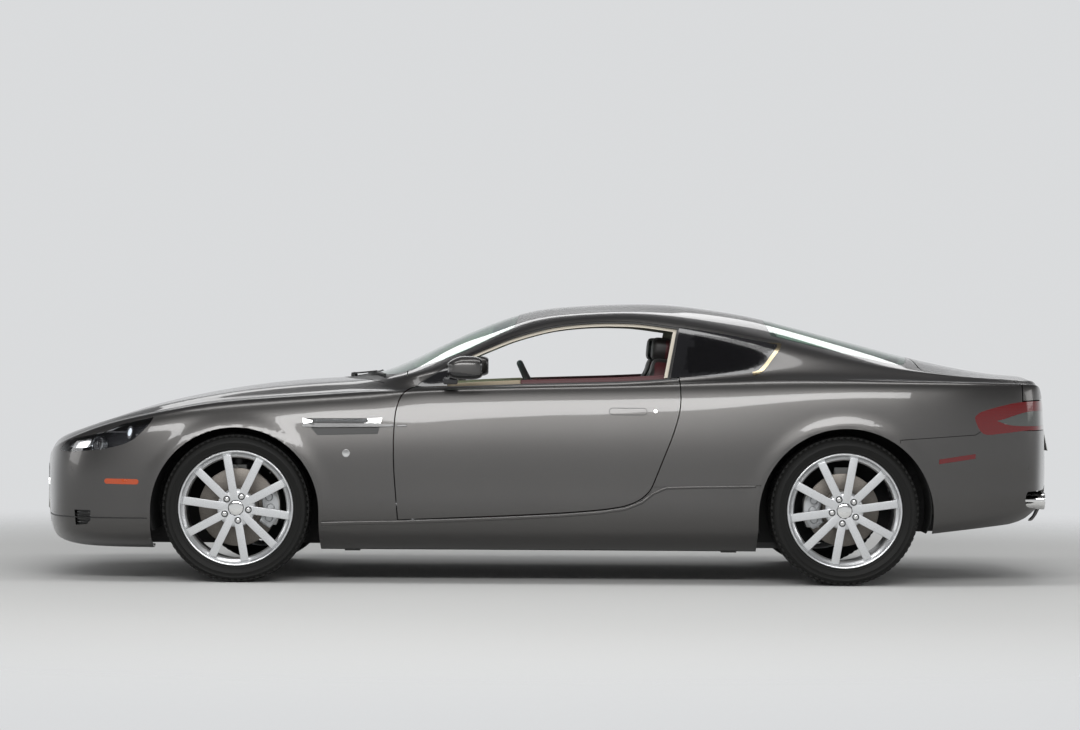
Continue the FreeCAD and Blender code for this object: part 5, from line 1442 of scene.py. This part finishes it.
def makeSteeringWheel():
    r, g = dashSet["rim"], dashSet["grip"]
    ring = spun([(r + g * math.cos(math.tau * i / 20), g * 1.05 * math.sin(math.tau * i / 20)) for i in range(20)],
                96)
    for vertex in ring.verts:
        # thumb swells at ten past ten
        angle = math.degrees(math.atan2(vertex.co.z, abs(vertex.co.x)))
        swell = 1 + 0.12 * math.exp(-((angle - 28) / 14) ** 2)
        flat = Vector((vertex.co.x, 0, vertex.co.z)).normalized() * r * mm
        vertex.co = flat + (vertex.co - flat) * swell
    hub, size = softBlock((68, 24, 62), 4, 16)
    for vertex in hub.verts:
        p = Vector((vertex.co.x * size.x, vertex.co.y * size.y + 4, vertex.co.z * size.z))
        p.x *= 1 + 0.15 * rise(vertex.co.z, -0.5, 1)
        vertex.co = p * mm
    parts = [(ring, 0), (hub, 0)]
    for x, z in ((-1, 0.12), (1, 0.12), (0, -1)):
        spoke = bar(-20, 20, -7, 7, 46, r - 4, 5, 3)
        for vertex in spoke.verts:
            share = (vertex.co.z / mm - 46) / (r - 50)
            vertex.co.x *= 1.25 - 0.5 * share
            vertex.co.y += 0.004 * (1 - share)
        parts.append((turned(spoke, math.atan2(x, z), "Y"), 1))
    badge = spun([(0.01, -22), (14, -22.5), (16, -24), (19, -24), (21, -20), (21, -10), (0.01, -10)], 32, False)
    parts.append((badge, 2))
    wheel = place("steeringWheel", steered(fused(*parts)), "dark", "castGrey", "bright")
    ownPiece(wheel, "steering", "trim_dark", "steering_wheel")


def makeConsole():
    gaiter = spun([(0.01, -64), (14, -62), (20, -40), (34, -18), (46, 0), (46, 6), (0.01, 6)], 36, False)
    knob = spun([(0.01, -40), (14, -37), (22, -24), (23, -10), (16, 4), (9, 12), (9, 40), (0.01, 40)], 36, False)
    parts = [(bar(-415, 555, -126, 126, 305, 470, 22, 4), 0), (bar(150, 540, -112, 112, 440, 505, 18, 4), 1),
             (bar(-370, 120, -96, 96, 466, 474, 3), 2), (slid(turned(gaiter, -math.pi / 2, "X"), -120, 0, 474), 1),
             (slid(turned(knob, -math.pi / 2, "X"), -120, 0, 572), 3)]
    for y in (-46, 46):
        cup = spun([(30, -2), (33, -5), (38, -5), (40, 0), (38, 6), (30, 6)], 32)
        parts.append((slid(turned(cup, -math.pi / 2, "X"), 60, y, 474), 3))
    console = place("console", fused(*parts), "wine", "dark", "gloss", "bright")
    ownPiece(sharpened(console, 40), "body", "trim_dark", "centre_console")


def restTopShape(u, p):
    return p.x, p.y + 6 * (1 - u.x * u.x), p.z + 5 * rise(-u.x, 0, 1)


def makeDoorCards():
    rest = pad("armrestLeft", (300, 34, 32), restTopShape, (50, -672, 668), 2, 6, [], ("wine",), 22)
    pocket = bar(-480, 380, -704, -668, 340, 430, 16, 3)
    for vertex in pocket.verts:
        vertex.co.y += 0.012 * rise(-vertex.co.z, -0.43, -0.34)
    ring = spun([(62, -4), (66, -9), (80, -9), (84, -2), (84, 8), (62, 8)], 40)
    cone = spun([(0.01, -3), (60, -1), (62, 4), (0.01, 4)], 40, False)
    parts = [(pocket, 0)]
    for made, key in ((ring, 1), (cone, 2)):
        parts.append((stood(made, Vector((-0.38, -0.699, 0.47)), Vector((0, 1, 0))), key))
    parts += [(bar(-330, -190, -694, -672, 742, 762, 8, 3), 1), (bar(-560, 560, -704, -690, 800, 806, 2), 1)]
    card = sharpened(place("doorFittingsLeft", fused(*parts), "dark", "bright", "satin"))
    paired(rest, "left_door", "trim_dark")[1]
    paired(card, "left_door", "trim_dark")


mirrorSet = {"cap": (-367, -946, 972), "half": (87, 73, 53),
             "sail": [(-600, 884), (-452, 890), (-452, 974), (-528, 930)]}


def makeMirrors():
    x, y, z = mirrorSet["cap"]

    def capShape(u, p):
        p.x += 10 * rise(-u.x, 0.2, 1) * (1 - abs(u.z))
        p.z -= 14 * rise(-u.x, 0.1, 1) * rise(u.z, 0, 1)
        p.y += 6 * rise(-u.y, 0.3, 1) * u.x
        p.z *= 1 - 0.12 * rise(-u.y, 0, 1)
        return p

    bm, size = softBlock(mirrorSet["half"], 3.2, 24)
    for vertex in bm.verts:
        u = vertex.co.copy()
        p = capShape(u, Vector((u.x * size.x, u.y * size.y, u.z * size.z)))
        if u.x > 0.86:
            p.x = min(p.x, 0.86 * size.x)
        vertex.co = (p + Vector((x, y, z))) * mm
    bm.normal_update()
    for face in bm.faces:
        spot = face.calc_center_median() / mm
        face.material_index = 1 if spot.x > x + 68 or spot.z < z - 24 - 0.12 * (spot.x - x) else 0
    rear = [f for f in bm.faces if f.normal.x > 0.95 and f.calc_center_median().x > (x + 0.855 * size.x) * mm]
    bmesh.ops.inset_region(bm, faces=rear, thickness=0.009, use_even_offset=True)
    bmesh.ops.translate(bm, verts=list({v for f in rear for v in f.verts}), vec=(-0.006, 0, 0))
    for face in rear:
        face.material_index = 2
    arm = bar(-468, -402, -900, -800, 897, 930, 9, 3)
    head = place("mirrorHeadLeft", bm, "paint", "gloss", "bright")
    paired(sharpened(head, 50), "left_door", "paint", "mirror_left")
    paired(place("mirrorArmLeft", arm, "gloss"), "left_door", "black_plastic")
    patch("mirrorSail", rounded(mirrorSet["sail"], 4, (0, 1, 2)), "gloss", 2.5, 7, body="left_door")
    clearTools()


def swept(points, width, height, ups=None, taper=1.0):
    # a strip with a rectangular section along a line, in millimetres; up is the skin's normal
    bm = bmesh.new()
    rows = []
    last = len(points) - 1
    for i in range(len(points)):
        here, before, after = (Vector(points[k]) * mm for k in (i, max(i - 1, 0), min(i + 1, last)))
        along = (after - before).normalized()
        up = (ups[i] if ups else Vector((0, 0, 1))).normalized()
        across = along.cross(up).normalized()
        up = across.cross(along)
        share = 1 + (taper - 1) * i / max(last, 1)
        a, b = across * width * mm / 2 * share, up * height * mm / 2
        rows.append([bm.verts.new(here + v)
                     for v in (a + b * 0.4, a * 0.6 + b, -a * 0.6 + b, -a + b * 0.4, -a - b, a - b)])
    for one, two in zip(rows, rows[1:]):
        for k in range(6):
            bm.faces.new((one[k], one[(k + 1) % 6], two[(k + 1) % 6], two[k]))
    bm.faces.new(rows[0][::-1])
    bm.faces.new(rows[-1])
    bmesh.ops.recalc_face_normals(bm, faces=bm.faces)
    return bm


def overSkin(points, lift, steps=16):
    # follows the skin above a line of plan points, and gives its places and normals
    line, ups = [], []
    for (x0, y0), (x1, y1) in zip(points, points[1:]):
        for i in range(steps + (points[-1] == (x1, y1))):
            x, y = x0 + (x1 - x0) * i / steps, y0 + (y1 - y0) * i / steps
            z = skinOver(x * mm, y * mm)
            if z is None:
                continue
            way = skinNormal(Vector((x * mm, y * mm, z)))[0]
            line.append(tuple((Vector((x * mm, y * mm, z)) + way * lift * mm) / mm))
            ups.append(way)
    return line, ups


wiperSet = {"blades": [((-842, 70), (-742, 560)), ((-742, -560), (-842, -70))], "foot": -912, "short": -60}


def makeWipers():
    parts = []
    for start, end in wiperSet["blades"]:
        middle = ((start[0] + end[0]) / 2, (start[1] + end[1]) / 2)
        foot = (wiperSet["foot"], end[1] * 0.9 if end[1] > 0 else wiperSet["short"])
        for ends, lift, width, height, taper in (((start, end), 5.5, 7, 9, 1), ((start, end), 11, 13, 4, 1),
                                                 ((foot, middle), 15, 15, 7, 0.6)):
            line, ups = overSkin(ends, lift)
            parts.append((swept(line, width, height, ups, taper), 0))
        spot = Vector((foot[0] * mm, foot[1] * mm, skinOver(foot[0] * mm, foot[1] * mm)))
        boss = spun([(0.01, -20), (13, -18), (16, -8), (16, 20), (0.01, 20)], 28, False)
        parts.append((stood(boss, spot, skinNormal(spot)[0]), 0))
    ownPiece(sharpened(place("wiperArms", fused(*parts), "satin")), "body", "black_plastic", "wipers")


doorTopSet = {"section": (26, 42), "front": -190, "rear": -100,
              "line": [(-566, -716, 868), (-450, -714, 878), (-300, -713, 888), (-120, -709, 896), (60, -706, 902),
                       (300, -698, 910), (450, -692, 917), (570, -688, 924)]}


def makeDoorTops():
    line, (width, height) = doorTopSet["line"], doorTopSet["section"]
    for name, look, span in (("doorTopRollLeft", "wine", [p for p in line if p[0] > doorTopSet["front"]]),
                             ("doorTopTanLeft", "champagneHide", [p for p in line if p[0] < doorTopSet["rear"]])):
        roll = place(name, swept(span, width, height), look)
        paired(bevelled(roll, 5, 3, 30), "left_door", "trim_dark")


def makeGlassEdges():
    for name, run, span, low in (("screenFrit", screenRun, (-960, 60), 860), ("backFrit", backRun, (900, 1900), 950)):
        frit = panel(name, span, 1, [planTool(run, -2, low)], [prism(grown(run, -30), low - 10, 1510, "plan")],
                     lift=-5.6, look="satin")
        ownPiece(frit, "body", "black_plastic")
        if run == screenRun:
            tint = panel("screenTint", span, 0.8, [planTool(run, -31, low), block(-250, 0, -700, 700, 900, 1500)],
                         lift=-5.7, look="band")
            ownPiece(tint, "body", "glass")
    clearTools()


noseSet = {"rim": 14, "front": -2304, "bars": [262, 296, 330, 364, 398, 432, 466, 494],
           "plate": (-150, 150, 300, 390), "plateFront": -2344}


def makeNose():
    opening = rounded(mouth, 5)
    rim = panel("mouthRim", (-2400, -2060), 14, [prism(opening, -2500, -2060, "end")],
                [prism(grown(opening, -noseSet["rim"]), -2510, -2050, "end")], lift=1.5, look="bright")
    ownPiece(rim, "body", "chrome", "grille")
    front = noseSet["front"]
    parts = []
    for z in noseSet["bars"]:
        inside = [y for y, h in opening if abs(h - z) < 24]
        half = (max(inside) if inside else 250) - 4
        spots = [-half + 2 * half * i / 24 for i in range(25)]
        line = [(front + 14 * (y / 380) ** 2, y, z) for y in spots]
        parts.append((swept(line, 8, 14, [Vector((-1, 0, 0.15))] * 25), 0))
    for y in range(-340, 341, 34):
        parts.append((bar(front + 14, front + 20, y - 1.2, y + 1.2, 250 + abs(y) * 0.08, 500 - abs(y) * 0.12), 1))
    ownPiece(sharpened(place("mouthBars", fused(*parts), "bright", "satin")), "body", "chrome")
    ownPiece(dressed(named(block(-2192, -2186, -392, 392, 240, 512), "mouthBack"), "satin"), "body", "black_plastic")
    y0, y1, z0, z1 = noseSet["plate"]
    x = noseSet["plateFront"]
    parts = [(bar(x, x + 12, y0 - 4, y1 + 4, z0 - 4, z1 + 4, 4), 0), (bar(x - 3, x, y0, y1, z0, z1, 1.2), 1)]
    parts += [(bar(x + 8, front + 4, y - 12, y + 12, 338, 358, 4), 0) for y in (-90, 90)]
    ownPiece(place("frontPlate", fused(*parts), "satin", "plate"), "body", "black_plastic")
    line, ups = besideSkin([(x, 288) for x in range(-2290, -1780, 25)], 1.5)
    paired(place("valanceLineLeft", swept(line, 5, 4, ups), "satin"), "body", "black_plastic")
    patch("ductBack", grown(duct, 3), "satin", -12, 3)
    parts = []
    for z in range(266, 312, 15):
        line, ups = besideSkin([(x, z) for x in range(-2130, -2055, 12)], -6)
        parts.append((swept(line, 4, 4, ups), 0))
    paired(place("ductBarsLeft", fused(*parts), "darkBright"), "body", "black_plastic")
    clearTools()


tailSet = {"plate": (-262, 262, 596, 710), "end": 2450, "brake": [(-190, 858), (190, 858), (184, 872), (-184, 872)],
           "valance": [(-432, 300), (-432, 395), (-400, 428), (400, 428), (432, 395), (432, 300)]}


def tailAt(z):
    # rear face of the skin on the middle line, in millimetres
    return skinTree.ray_cast(Vector((3, 0, z * mm)), Vector((-1, 0, 0)))[0].x / mm


def makeTail():
    y0, y1, z0, z1 = tailSet["plate"]
    recess = rounded([(y0 - 14, z0 - 12), (y0 - 14, z1 + 12), (y1 + 14, z1 + 12), (y1 + 14, z0 - 12)], 4)
    valance = rounded(tailSet["valance"], 4, (0, 5))
    for name, outline, start, front, wall, lift, look, body, slot in (
            ("tailValance", valance, 2000, 2060, 12, 1.2, "satin", "body", "black_plastic"),
            ("brakeStrip", tailSet["brake"], 2150, 2100, 6, 1.5, "redLens", "boot", "lamp_rear"),
            ("plateRecess", recess, 2100, 2150, 5, 0.8, "satin", "body", "black_plastic")):
        tool = prism(outline, front, tailSet["end"], "end")
        ownPiece(panel(name, (start, 2400), wall, [tool], lift=lift, look=look), body, slot)
    low, high = tailAt(z0), tailAt(z1)
    lean = math.atan2(low - high, z1 - z0)
    plate = slid(turned(bar(-2, 2, y0, y1, 0, z1 - z0, 1.2), -lean, "Y"), low + 4, 0, z0)
    ownPiece(place("rearPlate", plate, "plate"), "body", "paint")
    clearTools()


engineSet = {
    "heads": (-1500, -960), "tilt": 0.5, "across": 200, "up": 630, "plenum": (-1480, -1000, 92, 640, 748),
    "runners": 6, "runner": [(60, 712), (100, 716), (130, 700), (150, 660)],
    # x, y, radius and height of the filler caps
    "caps": [(-1040, 260, 26, 30), (-1440, -262, 20, 24), (-1300, 300, 34, 46)],
}


def makeEngine():
    x0, x1 = engineSet["heads"]
    parts = [(bar(-1540, -920, -250, 250, 265, 570, 26, 3), 0), (bar(-1556, -1500, -220, 220, 300, 640, 16, 3), 2)]
    for side in (-1, 1):
        lid = bar(x0, x1, -62, 62, -40, 60, 22, 4)
        for vertex in lid.verts:
            vertex.co.z += 0.003 * math.cos(vertex.co.x * 60)
        ribs = [bar(x0 + 40 + 52 * k, x0 + 58 + 52 * k, -48, 48, 58, 66, 4) for k in range(10)]
        for made in (lid, *ribs):
            turned(made, -side * engineSet["tilt"], "X")
            parts.append((slid(made, 0, side * engineSet["across"], engineSet["up"]), 1))
        for k in range(engineSet["runners"]):
            line = [(x0 + 60 + k * 84, side * y, z) for y, z in engineSet["runner"]]
            parts.append((swept(line, 34, 30), 3))
    x0, x1, half, z0, z1 = engineSet["plenum"]
    parts.append((bar(x0, x1, -half, half, z0, z1, 26, 4), 3))
    for y in range(-60, 61, 30):
        parts.append((bar(x0 + 40, x1 - 40, y - 5, y + 5, z1 - 2, z1 + 5, 2), 1))
    for x, y, r, h in engineSet["caps"]:
        cap = spun([(0.01, -h), (r - 3, -h), (r, -h + 3), (r, 0), (0.01, 0)], 32, False)
        parts.append((slid(turned(cap, -math.pi / 2, "X"), x, y, 700), 2))
    engine = place("engine", fused(*parts), "cast", "castGrey", "satin", "alloy")
    ownPiece(sharpened(engine, 40), "body", None, "engine_block")


# holes in the inner frames of the lids, on one side
lidHoles = {"bonnet": [[(-2080, 60), (-2080, 330), (-1960, 440), (-1800, 480), (-1800, 60)],
                       [(-1740, 60), (-1740, 480), (-1420, 500), (-1420, 60)],
                       [(-1360, 60), (-1360, 500), (-1060, 480), (-1060, 60)]],
            "boot": [[(1790, 70), (1790, 500), (2080, 470), (2110, 70)]]}


def lidTools(key):
    return [prism(rounded([(x, y * side) for x, y in outline], 4), 400, 1500, "plan")
            for outline in lidHoles[key] for side in (1, -1)]


def makeLidFrames():
    inner = panel("bonnetFrame", (-2400, -600), 10, [planTool(bonnetRun, -34)], lidTools("bonnet"), lift=-14.5)
    ownPiece(inner, "bonnet_lid", "paint")
    inner = panel("bootFrame", (1600, 2400), 10, [planTool(bootRun, -36, 760)],
                  [*lidTools("boot"), block(2170, 2450, -900, 900, 500, 840)], lift=-12.5, look="carpet")
    ownPiece(inner, "boot", "trim_dark")
    clearTools()


makeSeats()
makeDashboard()
makeSteeringWheel()
makeConsole()
makeDoorCards()
makeMirrors()
makeWipers()
makeDoorTops()
print("cabin made")
makeGlassEdges()
makeNose()
makeTail()
makeEngine()
makeLidFrames()
print("nose, tail and lids made")
makeDoors()
makeFrames()
makeWindowTrim()
makeVents()
makeSmallFittings()
makeLamps()
makeArchLips()
makeTailpipes()
print("trim made")

discard(skin)

stageSet = {"floor": (0.56, 0.56, 0.55), "sky": (0.8, 0.81, 0.82), "fill": 0.62, "seen": 1.0, "fade": (3.0, 7.0),
            "dome": [(0.11, (0.7, 0.71, 0.72)), (0.36, (0.1, 0.1, 0.105))],
            # name, place, aim, width, height, watts
            "lamps": [("top", (0.3, -1.2, 5.2), (0, -0.1, 0.5), 6.4, 1.2, 110),
                      ("nearSide", (-0.4, -8.0, 4.4), (0, 0, 0.6), 8, 1.2, 380),
                      ("farSide", (0.4, 8.0, 4.4), (0, 0, 0.6), 8, 1.2, 60),
                      ("nose", (-8.5, -1.5, 3), (-1, 0, 0.6), 3, 2.0, 60),
                      ("tail", (8.5, -1.5, 3), (1, 0, 0.6), 3, 2.0, 60)]}


def makeFloor():
    bm = bmesh.new()
    bmesh.ops.create_circle(bm, cap_ends=True, segments=96, radius=40)
    look = Finish("paleFloor", stageSet["floor"], 0.75)
    away = look.node("ShaderNodeVectorMath", {"operation": "LENGTH"}, {0: look.place()}, "Value")
    near, far = stageSet["fade"]
    share = look.node("ShaderNodeMapRange", {"interpolation_type": "SMOOTHSTEP"},
                      {"Value": away, "From Min": near, "From Max": far}, "Result")
    clear = look.node("ShaderNodeBsdfTransparent")
    look.shown(look.node("ShaderNodeMixShader", None, {0: share, 1: look.surface, 2: clear}))
    finish["floor"] = look.material
    place("floor", bm, "floor")


def makeSky():
    world = bpy.data.worlds.new("studio")
    scene.world = world
    world.use_nodes = True
    tree = world.node_tree
    tree.nodes.clear()
    path = tree.nodes.new("ShaderNodeLightPath").outputs
    looked = Wire(tree, path["Is Camera Ray"])
    for kind in ("Is Glossy Ray", "Is Transmission Ray"):
        looked = looked.sum("MAXIMUM", Wire(tree, path[kind]))
    # what the camera and the paint see of the sky darkens overhead, like a studio ceiling
    way = addNode(tree, "ShaderNodeTexCoord", output="Generated")
    ramp = tree.nodes.new("ShaderNodeValToRGB")
    plug(tree, ramp.inputs[0], addNode(tree, "ShaderNodeSeparateXYZ", None, {0: way}, "Z"))
    for element, (share, colour) in zip(ramp.color_ramp.elements, stageSet["dome"]):
        element.position, element.color = share, (*colour, 1)
    light = addNode(tree, "ShaderNodeBackground", None, {0: (*stageSet["sky"], 1), 1: stageSet["fill"]})
    seen = addNode(tree, "ShaderNodeBackground", None, {0: Wire(tree, ramp.outputs[0]), 1: stageSet["seen"]})
    both = addNode(tree, "ShaderNodeMixShader", None, {0: looked, 1: light, 2: seen})
    plug(tree, tree.nodes.new("ShaderNodeOutputWorld").inputs[0], both)


def makeLights():
    for name, spot, aim, width, height, power in stageSet["lamps"]:
        lamp = bpy.data.lights.new(name, "AREA")
        lamp.shape, lamp.size, lamp.size_y, lamp.energy = "RECTANGLE", width, height, power
        holder = bpy.data.objects.new(name, lamp)
        holder.location = spot
        holder.rotation_euler = (Vector(aim) - Vector(spot)).to_track_quat("-Z", "Y").to_euler()
        scene.collection.objects.link(holder)


cameraSet = {"spot": (-0.032, -16.1, 1.053), "focal": 112.63, "pitch": 89.75, "roll": 0.33}


def makeCamera():
    data = bpy.data.cameras.new("side")
    data.lens, data.sensor_width, data.clip_end = cameraSet["focal"], 36, 200
    camera = bpy.data.objects.new("side", data)
    camera.matrix_world = (Matrix.Translation(cameraSet["spot"])
                           @ Matrix.Rotation(math.radians(cameraSet["pitch"]), 4, "X")
                           @ Matrix.Rotation(math.radians(cameraSet["roll"]), 4, "Z"))
    scene.collection.objects.link(camera)
    scene.camera = camera


makeFloor()
makeSky()
makeLights()
makeCamera()
scene.view_settings.view_transform = "Standard"
print("stage set")
